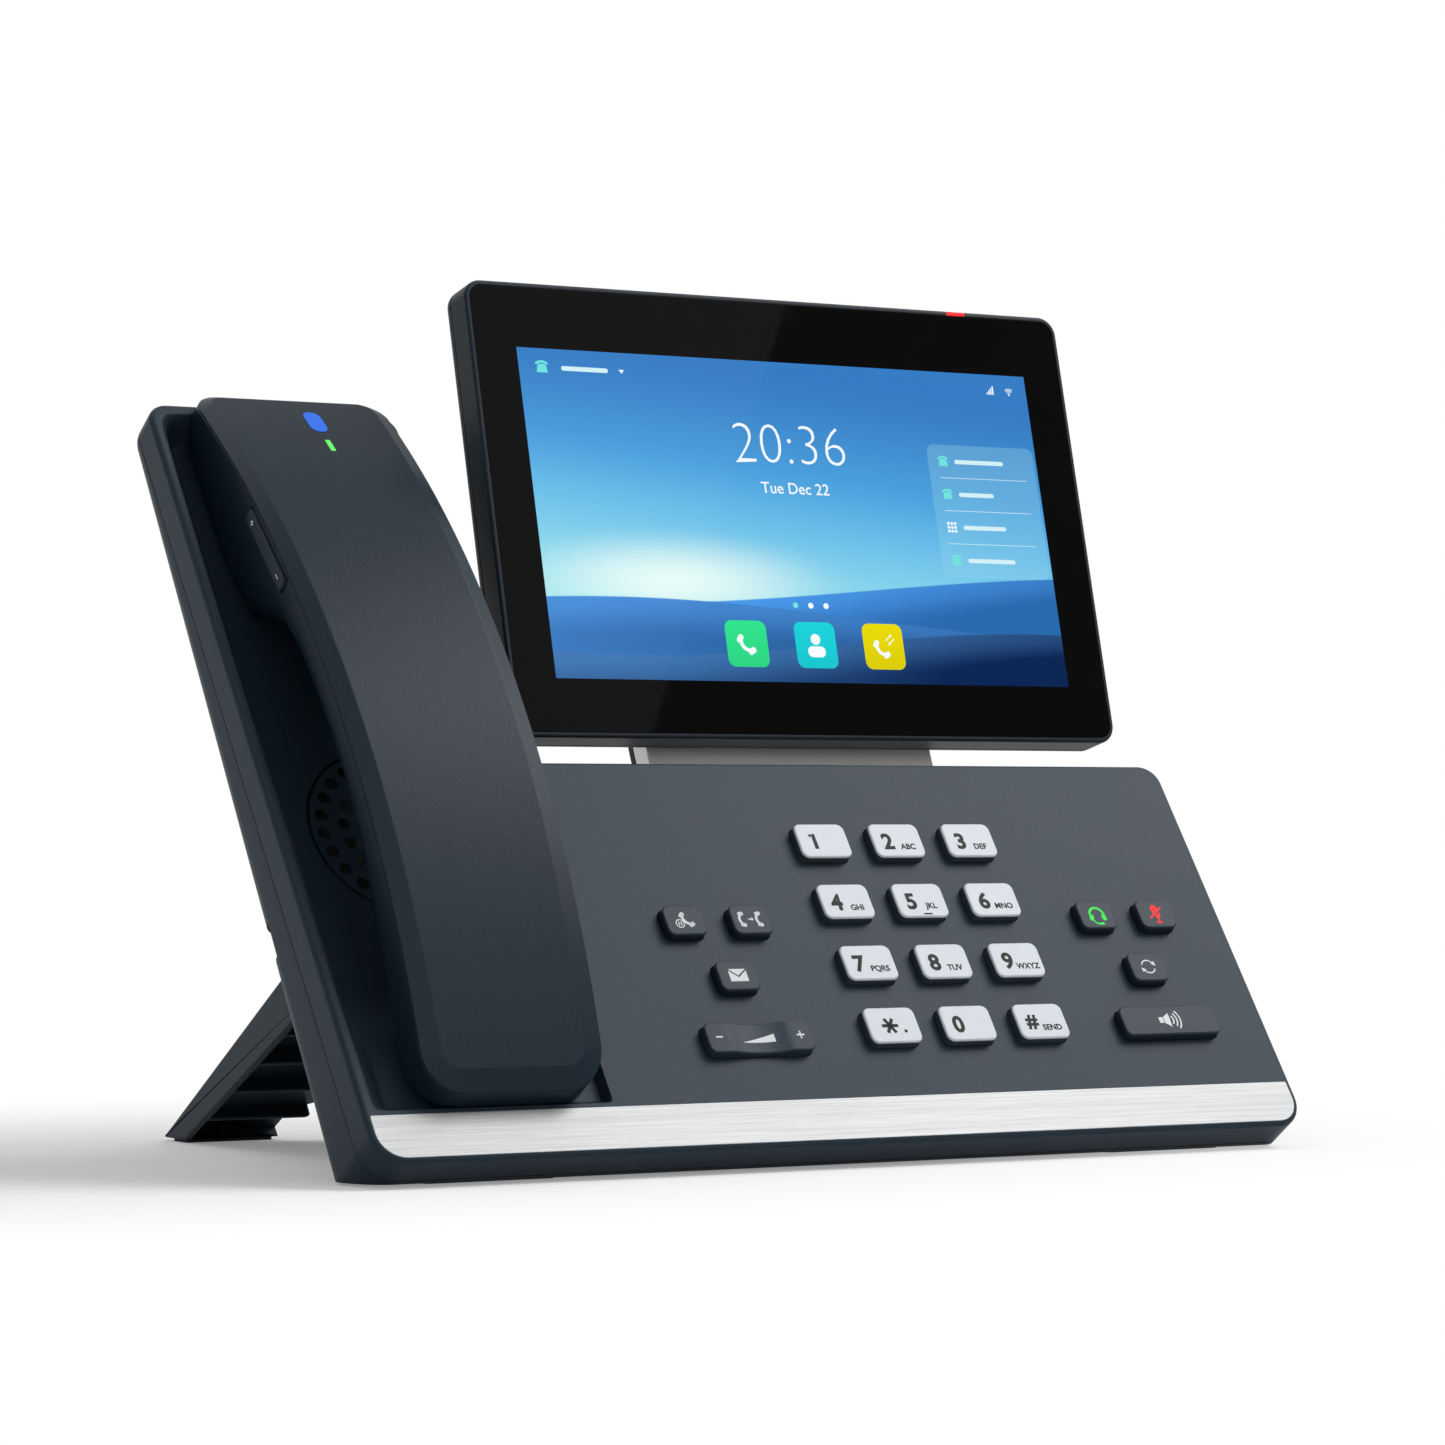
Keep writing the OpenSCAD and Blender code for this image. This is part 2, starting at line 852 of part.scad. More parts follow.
module stand_pockets() {
    inner_w = base_w - 2 * stand_inset - 2 * stand_wall;
    difference() {
        intersection() {
            across(stand_inset + stand_wall, base_w - stand_inset - stand_wall)
                polygon([
                    root_top + [-2 * stand_wall, -3 * stand_wall],
                    stand_back + [-4.6 * stand_wall, stand_wall * 0.7],
                    [stand_reach - stand_heel - 1.2, heel_z - over],
                    root_low + [8, -20],
                    root_low + [-1, -6]
                ]);
            on_stand()
                translate([0, 0, -stand_wall - 60])
                    cube([base_w, stand_len - 9, 60]);
        }
        on_stand()
            for (k = [1:stand_ribs])
                translate([0, 4 + k * rib_pitch, -80])
                    cube([base_w, rib_t, 90]);
        for (k = [0:5])
            translate([stand_inset + 34 + k * (inner_w - 68 + stand_wall) / 5, 0, -80])
                cube([rib_t, 400, 200]);
    }
}

module stand_arch() {
    on_stand()
        translate([arch_edge, -20, -80])
            linear_extrude(120)
                rounded_rect(0, -10, base_w - 2 * arch_edge, 20 + arch_rise, 0.5, 10);
}

module stand() {
    color(housing_colour) {
        on_desk()
            difference() {
                across(stand_inset, base_w - stand_inset)
                    stand_profile();
                stand_pockets();
                stand_arch();
            }
        on_face()
            for (u = hook_spots)
                translate([u, hook_v, rear_w(hook_v) - 0.6])
                    cube([hook_w, hook_h, hook_d]);
    }
}

module stand_feet() {
    color([0.06, 0.06, 0.07])
        on_desk()
            for (u = [stand_inset + 1, base_w - arch_edge + 1])
                translate([u, stand_reach - stand_heel + 0.6, -face_lift])
                    linear_extrude(pad_drop)
                        rounded_rect(0, 0, arch_edge - stand_inset - 2, stand_heel - 3.2, 1, 1);
}

// ---- Neck ----

module neck_profile() {
    polygon([
        hinge_at + neck_out * neck_t / 2,
        hinge_at + neck_out * neck_t / 2 - neck_up * neck_front_len,
        neck_root_high,
        neck_root_low,
        hinge_at + neck_out * (neck_cover_t - neck_t / 2) - neck_up * neck_rear_len,
        hinge_at + neck_out * (neck_cover_t - neck_t / 2)
    ]);
}

module neck() {
    color(steel_colour) {
        on_desk()
            difference() {
                union() {
                    across(neck_u0, neck_u1)
                        neck_profile();
                    translate([neck_u0, hinge_y, hinge_z])
                        rotate([0, 90, 0])
                            cylinder(r = barrel_r, h = neck_w);
                }
                translate([neck_u0 - over, hinge_y, hinge_z])
                    rotate([0, 90, 0])
                        cylinder(r = pin_d / 2 + pin_gap, h = neck_w + 2 * over);
                across(neck_u0 + neck_edge, neck_u1 - neck_edge)
                    polygon([
                        hinge_at + neck_out * (neck_cover_t + pocket_d - neck_t / 2) - neck_up * (barrel_r + 4),
                        hinge_at + neck_out * (neck_cover_t + pocket_d - neck_t / 2) - neck_up * neck_front_len,
                        hinge_at - neck_out * neck_t - neck_up * neck_front_len,
                        hinge_at - neck_out * neck_t - neck_up * (barrel_r + 4)
                    ]);
                neck_pilots();
            }
    }
}

// Blind holes in the neck's root for its two screws
module neck_pilots() {
    rotate([face_tilt, 0, 0])
        for (s = neck_screw_spots)
            translate([s[0], s[1], rear_w(s[1]) - neck_bite])
                cylinder(r = pilot_r, h = neck_bite + over, $fn = 32);
}

module neck_cover() {
    color(dark_colour)
        on_desk()
            across(neck_u0, neck_u1)
                polygon([
                    hinge_at + neck_out * (neck_cover_t - neck_t / 2) - neck_up * (barrel_r + 1),
                    hinge_at + neck_out * (neck_cover_t - neck_t / 2) - neck_up * (neck_rear_len - 0.5),
                    hinge_at - neck_out * neck_t / 2 - neck_up * (neck_rear_len - 0.5),
                    hinge_at - neck_out * neck_t / 2 - neck_up * (barrel_r + 1)
                ]);
}

module neck_screws() {
    color(steel_colour)
        on_face()
            for (s = neck_screw_spots)
                translate([s[0], s[1], rear_w(s[1])]) {
                    translate([0, 0, 0.4 - neck_bite])
                        cylinder(r = screw_r, h = neck_bite - 0.4 + wall + 0.2, $fn = 32);
                    translate([0, 0, wall + 0.2])
                        cylinder(r = head_r, h = head_t, $fn = 48);
                }
}

// ---- Screen ----

// Screen frame: x across, y up the screen from its lower edge, z out of the glass.
module on_screen() {
    on_desk()
        translate([panel_cu - screen_w / 2, hinge_y, hinge_z])
            rotate([screen_tilt, 0, 0])
                translate([0, -axis_v, axis_w])
                    children();
}

module screen_outline(inset) {
    rounded_rect(inset, inset, screen_w - inset, screen_h - inset, screen_r - inset, screen_r - inset);
}

module screen_frame() {
    color(housing_colour)
        on_screen()
            difference() {
                between(-frame_d, 0)
                    screen_outline(0);
                between(-glass_t - 0.05, over)
                    screen_outline(rim_w - glass_gap);
                between(-frame_d - over, 0)
                    screen_outline(rim_w + glass_seat);
                light_slot(0.05);
            }
    color(housing_colour)
        on_screen()
            for (s = screen_screw_spots)
                screen_boss(s);
}

// Corner boss inside the screen's front housing, with its pilot hole.
module screen_boss(s) {
    difference() {
        intersection() {
            between(-frame_d, -glass_t - 0.6)
                screen_outline(screen_wall - 0.5);
            translate([s[0], s[1], -frame_d])
                cylinder(r = 3.4, h = frame_d, $fn = 48);
        }
        translate([s[0], s[1], -frame_d - over])
            cylinder(r = pilot_r, h = 4 + over, $fn = 32);
    }
}

module light_slot(grow) {
    translate([light_x - light_w / 2 - grow, screen_h - rim_w - 1.4 - grow, -light_low - grow])
        cube([light_w + 2 * grow, rim_w + 1.4 + over, light_h + 2 * grow]);
}

module status_light() {
    color([0.90, 0.08, 0.06])
        on_screen()
            translate([light_x - light_w / 2, screen_h - rim_w - 1.4, -light_low])
                cube([light_w, rim_w + 1.4, light_h]);
}

module screen_glass() {
    color([0.03, 0.03, 0.04])
        on_screen()
            between(-glass_t, 0)
                screen_outline(rim_w);
}

module lcd_panel() {
    color([0.15, 0.40, 0.75])
        on_screen()
            between(-glass_t - lcd_t, -glass_t)
                translate([rim_w + border_side - 3, lcd_low])
                    square([picture_w + 6, picture_h + 7]);
}

module screen_board() {
    color(board_colour)
        on_screen()
            between(-glass_t - lcd_t - screen_board_t, -glass_t - lcd_t)
                translate([rim_w + border_side + 20, lcd_low + 10])
                    square([picture_w - 40, 52]);
}

module screen_back() {
    color(housing_colour)
        on_screen()
            difference() {
                union() {
                    difference() {
                        between(-screen_d, -frame_d)
                            screen_outline(0);
                        between(-screen_d + screen_wall, -frame_d + over)
                            screen_outline(screen_wall);
                    }
                    for (x = [
                        screen_w / 2 - neck_w / 2 - ear_gap - ear_t,
                        screen_w / 2 + neck_w / 2 + ear_gap
                    ])
                        hinge_ear(x);
                    for (s = screen_screw_spots)
                        translate([s[0], s[1], -screen_d])
                            cylinder(r = 3.4, h = screen_d - frame_d, $fn = 48);
                }
                translate([0, axis_v, -axis_w])
                    rotate([0, 90, 0])
                        cylinder(r = pin_d / 2 + pin_fix_gap, h = screen_w);
                for (s = screen_screw_spots) {
                    translate([s[0], s[1], -screen_d - over])
                        cylinder(r = clear_r, h = screen_d, $fn = 32);
                    translate([s[0], s[1], -screen_d - over])
                        cylinder(r = head_r + 0.3, h = over + head_t + 0.1, $fn = 48);
                }
            }
}

module hinge_ear(x) {
    across(x, x + ear_t) {
        polygon([
            [axis_v - ear_half, -screen_d],
            [axis_v + ear_half, -screen_d],
            [axis_v + ear_r, -axis_w],
            [axis_v - ear_r, -axis_w]
        ]);
        translate([axis_v, -axis_w])
            circle(ear_r);
    }
}

module screen_screws() {
    color(steel_colour)
        on_screen()
            for (s = screen_screw_spots) {
                translate([s[0], s[1], -screen_d + head_t])
                    cylinder(r = screw_r, h = screen_d - head_t - frame_d + 3.6, $fn = 32);
                translate([s[0], s[1], -screen_d])
                    cylinder(r = head_r, h = head_t, $fn = 48);
            }
}

module hinge_pin() {
    color(steel_colour)
        on_screen()
            translate([screen_w / 2 - pin_len / 2, axis_v, -axis_w])
                rotate([0, 90, 0])
                    cylinder(r = pin_d / 2, h = pin_len);
}

// ---- Handset ----

// Half width of the handset at a height along the slope
function handset_half(v) = handset_w / 2 + handset_flare / 2 * (v - handset_mid_v) / handset_l;

module handset_outline(inset) {
    v0 = handset_v0 + inset;
    v1 = handset_v1 - inset;
    h0 = handset_half(v0) - inset;
    h1 = handset_half(v1) - inset;
    r0 = hs_low_r - inset;
    r1 = hs_high_r - inset;
    difference() {
        polygon([
            [handset_u - h0, v0],
            [handset_u + h0, v0],
            [handset_u + h1, v1],
            [handset_u - h1, v1]
        ]);
        corner_cut(handset_u - h0, v0, 1, 1, r0);
        corner_cut(handset_u + h0, v0, -1, 1, r0);
        corner_cut(handset_u - h1, v1, 1, -1, r1);
        corner_cut(handset_u + h1, v1, -1, -1, r1);
    }
}

// Disc whose rim is the handset's back curve, raised by a height.
module back_disc(raise) {
    translate([handset_vm, crown_w - back_r])
        circle(back_r + raise, $fn = 180);
}

// Carries the line from q to p on past p, a little further along the slope.
function beyond(p, q) = p + (p - q) * over / abs(p[0] - q[0]);

// Side profile of the handset between its ends, without the back curve and the grip.
module body_block(inset) {
    end_low = [handset_v0 + inset, inset - 0.4];
    mouth = [handset_v0 + 3 + inset / 2, mouth_w + inset];
    end_mid = [handset_v1 - 4 - inset, 0.3 + inset / 2];
    end_high = [handset_v1 - inset, 2.5];
    polygon([
        [handset_v0 - over, 60],
        beyond(end_low, mouth),
        mouth,
        [grip_vm, mouth_w + inset],
        [boss_v0, ear_w + inset],
        [handset_v1 - 9.5 - inset / 2, ear_w + inset],
        end_mid,
        beyond(end_high, end_mid),
        [handset_v1 + over, 60]
    ]);
}

// Hollow under the grip, bounded by the ear boss's sloping wall.
module grip_cut(inset) {
    intersection() {
        translate([grip_vm, grip_w - grip_r])
            circle(grip_r + inset, $fn = 180);
        polygon([
            [handset_v0 + 5, mouth_w - 30],
            [handset_v0 + 5, 60],
            [boss_v0 - (60 - ear_w) + inset, 60],
            [boss_v0 + 30 + inset, ear_w - 30]
        ]);
    }
}

module body_profile() {
    difference() {
        intersection() {
            body_block(0);
            back_disc(0);
        }
        grip_cut(0);
    }
}

module handset_body() {
    color(housing_colour)
        on_face()
            difference() {
                intersection() {
                    across(0, strip_w)
                        body_profile();
                    between(-cradle_d - over, 40)
                        handset_outline(0);
                }
                difference() {
                    intersection() {
                        across(0, strip_w)
                            intersection() {
                                cavity_profile();
                                back_disc(over);
                            }
                        between(-cradle_d, 40)
                            handset_outline(handset_wall);
                    }
                    for (s = hs_screw_spots)
                        translate([s[0], s[1], -cradle_d])
                            cylinder(r = hs_boss_r, h = cradle_d + back_height(s[1]) - hs_boss_h, $fn = 48);
                    for (s = hs_post_spots)
                        translate([s[0], s[1], -cradle_d])
                            cylinder(r = 2, h = cradle_d + hs_board_w, $fn = 48);
                }
                for (s = hs_screw_spots)
                    hs_screw_hole(s);
                rocker_place()
                    cube([2 * (handset_wall + 1), hs_rocker_l + 0.6, hs_rocker_h + 0.6], center = true);
                for (u = contact_spots)
                    translate([u, contact_v, mouth_w - over])
                        cylinder(r = contact_r + 0.05, h = handset_wall + 2 * over, $fn = 32);
                for (x = [-ear_hole_pitch, 0, ear_hole_pitch])
                    for (y = [-ear_hole_pitch / 2, ear_hole_pitch / 2])
                        translate([handset_u + x, earpiece_v + y, ear_w - over])
                            cylinder(r = 1, h = handset_wall + 2 * over, $fn = 24);
                translate([handset_u, mic_v, mouth_w - over])
                    cylinder(r = 0.8, h = handset_wall + 2 * over, $fn = 24);
            }
}

module cavity_profile() {
    difference() {
        body_block(handset_wall);
        grip_cut(handset_wall);
    }
}

// Clearance hole and head recess for one handset screw, from below.
module hs_screw_hole(s) {
    low = s[1] < handset_vm ? mouth_w : ear_w;
    translate([s[0], s[1], low - over])
        cylinder(r = clear_r, h = 40, $fn = 32);
    translate([s[0], s[1], low - over])
        cylinder(r = head_r + 0.3, h = head_t + 0.4 + over, $fn = 48);
}

function back_height(v) = crown_w - back_r + sqrt(back_r * back_r - (v - handset_vm) * (v - handset_vm));

module handset_cap() {
    color(housing_colour)
        on_face() {
            cap_shell();
            for (s = hs_screw_spots)
                cap_boss(s);
        }
}

// Boss under the cap that takes one handset screw
module cap_boss(s) {
    difference() {
        intersection() {
            translate([s[0], s[1], back_height(s[1]) - hs_boss_h])
                cylinder(r = hs_boss_r, h = hs_boss_h + 2, $fn = 48);
            across(0, strip_w)
                back_disc(0.4);
        }
        translate([s[0], s[1], back_height(s[1]) - hs_boss_h - over])
            cylinder(r = pilot_r, h = hs_boss_h - 0.6 + over, $fn = 32);
    }
}

module cap_shell() {
    difference() {
        intersection() {
            across(0, strip_w)
                cap_profile();
            between(-over, 40)
                handset_outline(0);
        }
        light_place(pairing_v)
            between(-cap_t, 3 * cap_t)
                pairing_outline(0.05);
        light_place(charge_v)
            between(-cap_t, 3 * cap_t)
                charge_outline(0.05);
    }
}

// Side profile of the cap: a thin edge, then a shallow chamfer at either end.
module cap_profile() {
    end_low = [handset_v0, back_height(handset_v0) + cap_edge];
    low = [handset_v0 + cap_chamfer, back_height(handset_v0 + cap_chamfer) + cap_t];
    high = [handset_v1 - 1.5, back_height(handset_v1 - 1.5) + cap_t];
    end_high = [handset_v1, back_height(handset_v1) + cap_edge];
    difference() {
        intersection() {
            back_disc(cap_t);
            polygon([
                [handset_v0 - over, 0],
                beyond(end_low, low),
                low,
                [low[0], 40],
                [high[0], 40],
                high,
                beyond(end_high, high),
                [handset_v1 + over, 0]
            ]);
        }
        back_disc(0);
    }
}

module pairing_outline(grow) {
    hull()
        for (y = [-pairing_half, pairing_half])
            translate([0, y])
                circle(pairing_r + grow, $fn = 32);
}

module charge_outline(grow) {
    square([charge_w + 2 * grow, charge_h + 2 * grow], center = true);
}

// Local frame on the handset's back at a height along the slope, z along the outward normal.
module light_place(v) {
    translate([hs_light_u, v, back_height(v)])
        rotate([-asin((v - handset_vm) / back_r), 0, 0])
            children();
}

module rocker_place() {
    translate([handset_u - handset_half(hs_rocker_v), hs_rocker_v, hs_rocker_w])
        rotate([-hs_rocker_turn, 0, 0])
            children();
}

module pairing_light() {
    color([0.10, 0.35, 0.90])
        on_face()
            light_place(pairing_v)
                between(0, cap_t)
                    pairing_outline(0);
}

module charge_light() {
    color([0.20, 0.85, 0.35])
        on_face()
            light_place(charge_v)
                between(0, cap_t)
                    charge_outline(0);
}

module handset_rocker() {
    color(dark_colour)
        on_face()
            rocker_place()
                translate([-0.7, -hs_rocker_l / 2, -hs_rocker_h / 2])
                    cube([hs_rocker_t, hs_rocker_l, hs_rocker_h]);
}

module handset_board() {
    color(board_colour)
        on_face()
            translate([handset_u, handset_vm, hs_board_w])
                difference() {
                    translate([0, 0, hs_board_t / 2])
                        cube([hs_board_size[0], hs_board_size[1], hs_board_t], center = true);
                    translate([0, 0, -over])
                        cylinder(r = 1, h = hs_board_t + 2 * over, $fn = 24);
                }
}

module handset_battery() {
    color([0.75, 0.76, 0.78])
        on_face()
            translate([handset_u, handset_vm, hs_board_w + hs_board_t + battery_size[2] / 2])
                cube(battery_size, center = true);
}

module earpiece() {
    color(dark_colour)
        on_face()
            translate([handset_u, earpiece_v, ear_w + handset_wall])
                difference() {
                    cylinder(r = 11, h = 5);
                    translate([0, 0, -over])
                        cylinder(r = 8, h = 2.4);
                }
}

module microphone() {
    color(steel_colour)
        on_face()
            translate([handset_u, mic_v, mouth_w + handset_wall])
                cylinder(r = 2, h = 2, $fn = 32);
}

module handset_contacts() {
    color([0.85, 0.68, 0.30])
        on_face()
            for (u = contact_spots)
                translate([u, contact_v, mouth_w]) {
                    cylinder(r = contact_r, h = handset_wall, $fn = 32);
                    translate([0, 0, handset_wall])
                        cylinder(r = contact_r + 0.6, h = 1.2, $fn = 32);
                }
}

module handset_screws() {
    color(steel_colour)
        on_face()
            for (s = hs_screw_spots)
                hs_screw(s, s[1] < handset_vm ? mouth_w : ear_w);
}

module hs_screw(s, low) {
    translate([s[0], s[1], low + 0.4]) {
        cylinder(r = head_r, h = head_t, $fn = 48);
        cylinder(r = screw_r, h = back_height(s[1]) - low - 1.6, $fn = 32);
    }
}

module key_1() { number_key(0); }
module key_2() { number_key(1); }
module key_3() { number_key(2); }
module key_4() { number_key(3); }
module key_5() { number_key(4); }
module key_6() { number_key(5); }
module key_7() { number_key(6); }
module key_8() { number_key(7); }
module key_9() { number_key(8); }
module key_star() { number_key(9); }
module key_0() { number_key(10); }
module key_hash() { number_key(11); }
module key_hold() { function_key(0); }
module key_transfer() { function_key(1); }
module key_message() { function_key(2); }
module key_headset() { function_key(3); }
module key_mute() { function_key(4); }
module key_redial() { function_key(5); }
module key_speaker() { function_key(6); }

// Rocker with a hollow middle, resting on a rib under its centre.
module volume_rocker() {
    s = rocker_spot;
    color(dark_colour)
        on_face()
            difference() {
                union() {
                    between(key_bottom - seat_gap + flange_t, key_rise)
                        centred_rect(s[0], s[1], s[2], s[3], key_r);
                    between(key_bottom - seat_gap, key_bottom - seat_gap + flange_t)
                        centred_rect(s[0], s[1], rocker_flange_w, s[3] + 2 * flange, 1);
                }
                translate([s[0], s[1] + s[3], key_rise + rocker_dip_r - rocker_dip])
                    rotate([90, 0, 0])
                        cylinder(r = rocker_dip_r, h = 2 * s[3]);
            }
}

top_housing();
bottom_housing();
trim_strip();
front_feet();
housing_screws();
loudspeaker_frame();
loudspeaker_cone();
charge_contacts();
keypad_membrane();
keypad_board();
main_board();
lan_socket();
pc_socket();
power_socket();
stand();
stand_feet();
neck();
neck_cover();
neck_screws();
key_1();
key_2();
key_3();
key_4();
key_5();
key_6();
key_7();
key_8();
key_9();
key_star();
key_0();
key_hash();
key_hold();
key_transfer();
key_message();
key_headset();
key_mute();
key_redial();
key_speaker();
volume_rocker();
screen_frame();
screen_back();
screen_glass();
lcd_panel();
screen_board();
screen_screws();
status_light();
hinge_pin();
handset_body();
handset_cap();
handset_board();
handset_battery();
earpiece();
microphone();
handset_contacts();
pairing_light();
charge_light();
handset_rocker();
handset_screws();
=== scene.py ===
"""Studio scene of a desk IP phone: a base with a keypad, a wireless handset, a tilting screen.

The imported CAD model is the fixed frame. Each sub-assembly below builds its visible pieces over
that frame and dresses the CAD nodes that stay. Lengths are in millimetres in each assembly's own
frame, and become metres when a piece is placed.
"""

import sys

import json
import logging
import math
from dataclasses import dataclass
from enum import Enum
from typing import Callable, Iterable, Sequence, Union

import bmesh
import bpy
from mathutils import Matrix, Vector

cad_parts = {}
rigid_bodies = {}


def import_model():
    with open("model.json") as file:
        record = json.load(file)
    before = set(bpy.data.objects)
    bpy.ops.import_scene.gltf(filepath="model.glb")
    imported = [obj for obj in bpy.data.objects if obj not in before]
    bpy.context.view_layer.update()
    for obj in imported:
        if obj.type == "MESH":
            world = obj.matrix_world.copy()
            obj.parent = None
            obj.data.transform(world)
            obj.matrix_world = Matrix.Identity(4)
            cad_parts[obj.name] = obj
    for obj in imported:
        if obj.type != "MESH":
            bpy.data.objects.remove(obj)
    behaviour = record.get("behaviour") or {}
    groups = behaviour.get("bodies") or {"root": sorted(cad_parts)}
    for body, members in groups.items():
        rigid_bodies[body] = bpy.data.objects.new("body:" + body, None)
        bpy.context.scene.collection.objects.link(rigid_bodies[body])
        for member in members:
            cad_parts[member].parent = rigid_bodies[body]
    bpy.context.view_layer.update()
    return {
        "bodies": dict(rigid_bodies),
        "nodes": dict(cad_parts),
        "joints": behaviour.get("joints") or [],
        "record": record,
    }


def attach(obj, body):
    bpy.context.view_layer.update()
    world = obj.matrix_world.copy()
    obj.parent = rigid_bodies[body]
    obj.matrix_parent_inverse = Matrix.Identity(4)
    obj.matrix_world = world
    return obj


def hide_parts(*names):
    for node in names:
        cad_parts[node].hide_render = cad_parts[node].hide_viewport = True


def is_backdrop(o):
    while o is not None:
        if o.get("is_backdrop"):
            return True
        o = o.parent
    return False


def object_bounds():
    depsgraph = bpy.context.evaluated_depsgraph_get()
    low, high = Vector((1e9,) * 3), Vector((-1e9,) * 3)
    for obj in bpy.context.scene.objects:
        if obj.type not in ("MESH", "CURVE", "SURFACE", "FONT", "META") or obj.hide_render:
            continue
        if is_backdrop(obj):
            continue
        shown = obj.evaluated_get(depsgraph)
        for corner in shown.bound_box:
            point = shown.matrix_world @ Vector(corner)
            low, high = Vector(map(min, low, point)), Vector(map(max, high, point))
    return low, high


LOG = logging.getLogger("phone")
MM = 0.001
EDGE_ANGLE = math.radians(32.0)
CURVED_EDGE_ANGLE = math.radians(25.0)
BLACK = (0.0, 0.0, 0.0, 1.0)
WHITE = (1.0, 1.0, 1.0, 1.0)
MARK_T = 0.05  # thickness of a printed mark
CLEAR = 1.0  # how far a cutter reaches past what it cuts

Point = tuple[float, float]
Point3 = tuple[float, float, float]
Colour = tuple[float, float, float]
Number = Union[float, "Wire"]


# ---- Node trees ----


class Graph:
    """Adds nodes to one tree, for shaders and for geometry."""

    def __init__(self, tree: bpy.types.NodeTree) -> None:
        """Keeps the tree and empties it."""
        self.tree = tree
        tree.nodes.clear()

    def add(self, kind: str, settings: dict | None = None,
            inputs: dict | None = None) -> bpy.types.Node:
        """Adds one node.

        Args:
            kind: The node's type name.
            settings: Attributes set before the sockets, such as an operation.
            inputs: Values or links by socket name or number.

        Returns:
            The new node.
        """
        node = self.tree.nodes.new(kind)
        for key, value in (settings or {}).items():
            setattr(node, key, value)
        self.feed(node, inputs or {})
        return node

    def feed(self, node: bpy.types.Node, inputs: dict) -> None:
        """Links a node's sockets to wires or other sockets, or sets their values.

        Args:
            node: The node.
            inputs: Values or links by socket name or number.
        """
        for key, value in inputs.items():
            if isinstance(value, Wire):
                self.tree.links.new(value.socket, node.inputs[key])
            elif isinstance(value, bpy.types.NodeSocket):
                self.tree.links.new(value, node.inputs[key])
            else:
                node.inputs[key].default_value = value

    def wire(self, kind: str, settings: dict | None = None, inputs: dict | None = None,
             output: int | str = 0) -> "Wire":
        """Adds one node and wraps one of its outputs.

        Args:
            kind: The node's type name.
            settings: Attributes set before the sockets.
            inputs: Values or links by socket name or number.
            output: The output's name or number.

        Returns:
            The wrapped output.
        """
        return Wire(self, self.add(kind, settings, inputs).outputs[output])

    def plane(self, kind: str) -> tuple["Wire", "Wire"]:
        """First two parts of a texture coordinate."""
        place = self.wire("ShaderNodeTexCoord", output=kind)
        parts = self.add("ShaderNodeSeparateXYZ", None, {0: place})
        return Wire(self, parts.outputs[0]), Wire(self, parts.outputs[1])

    def seen(self) -> "Wire":
        """1 on rays that the camera sees directly, in gloss or through glass, else 0."""
        rays = self.add("ShaderNodeLightPath")
        camera, glossy, through = (Wire(self, rays.outputs[f"Is {kind} Ray"])
                                   for kind in ("Camera", "Glossy", "Transmission"))
        return camera.most(glossy).most(through)


class Wire:
    """A node's output that takes part in Python expressions."""

    def __init__(self, graph: Graph, socket: bpy.types.NodeSocket) -> None:
        """Keeps the graph and the socket."""
        self.graph = graph
        self.socket = socket

    def maths(self, operation: str, *values: Number) -> "Wire":
        """Adds a Math node.

        Args:
            operation: The Math node's operation.
            values: What follows this wire in its sockets.

        Returns:
            The result.
        """
        inputs = dict(enumerate((self, *values)))
        return self.graph.wire("ShaderNodeMath", {"operation": operation}, inputs)

    def __add__(self, other: Number) -> "Wire":
        """Sum."""
        return self.maths("ADD", other)

    def __sub__(self, other: Number) -> "Wire":
        """Difference."""
        return self.maths("SUBTRACT", other)

    def __rsub__(self, other: float) -> "Wire":
        """Difference, reflected."""
        return self.maths("MULTIPLY", -1.0).maths("ADD", other)

    def __mul__(self, other: Number) -> "Wire":
        """Product."""
        return self.maths("MULTIPLY", other)

    def __truediv__(self, other: Number) -> "Wire":
        """Quotient."""
        return self.maths("DIVIDE", other)

    def __pow__(self, other: Number) -> "Wire":
        """Power."""
        return self.maths("POWER", other)

    __radd__ = __add__
    __rmul__ = __mul__

    def sin(self) -> "Wire":
        """Sine."""
        return self.maths("SINE")

    def most(self, other: Number) -> "Wire":
        """Larger of the two."""
        return self.maths("MAXIMUM", other)

    def ramp(self, low: float, high: float) -> "Wire":
        """Smooth step from 0 at low to 1 at high."""
        settings = {"interpolation_type": "SMOOTHSTEP", "clamp": True}
        if low > high:
            return 1.0 - self.ramp(high, low)
        inputs = {"Value": self, "From Min": low, "From Max": high}
        return self.graph.wire("ShaderNodeMapRange", settings, inputs)

    def between(self, low: object, high: object) -> "Wire":
        """Colour that goes from low at 0 to high at 1."""
        settings = {"data_type": "RGBA", "clamp_factor": True}
        inputs = {0: self, 6: rgba(low), 7: rgba(high)}
        return self.graph.wire("ShaderNodeMix", settings, inputs, 2)


def rgba(colour: object) -> object:
    """Gives a plain colour its alpha, and leaves a wire as it is."""
    return (*colour, 1.0) if isinstance(colour, tuple) and len(colour) == 3 else colour


def shade(colour: Colour, factor: float, rise: float = 0.0) -> Colour:
    """A colour made lighter or darker."""
    return tuple(min(1.0, c * factor + rise) for c in colour)


# ---- Finishes ----


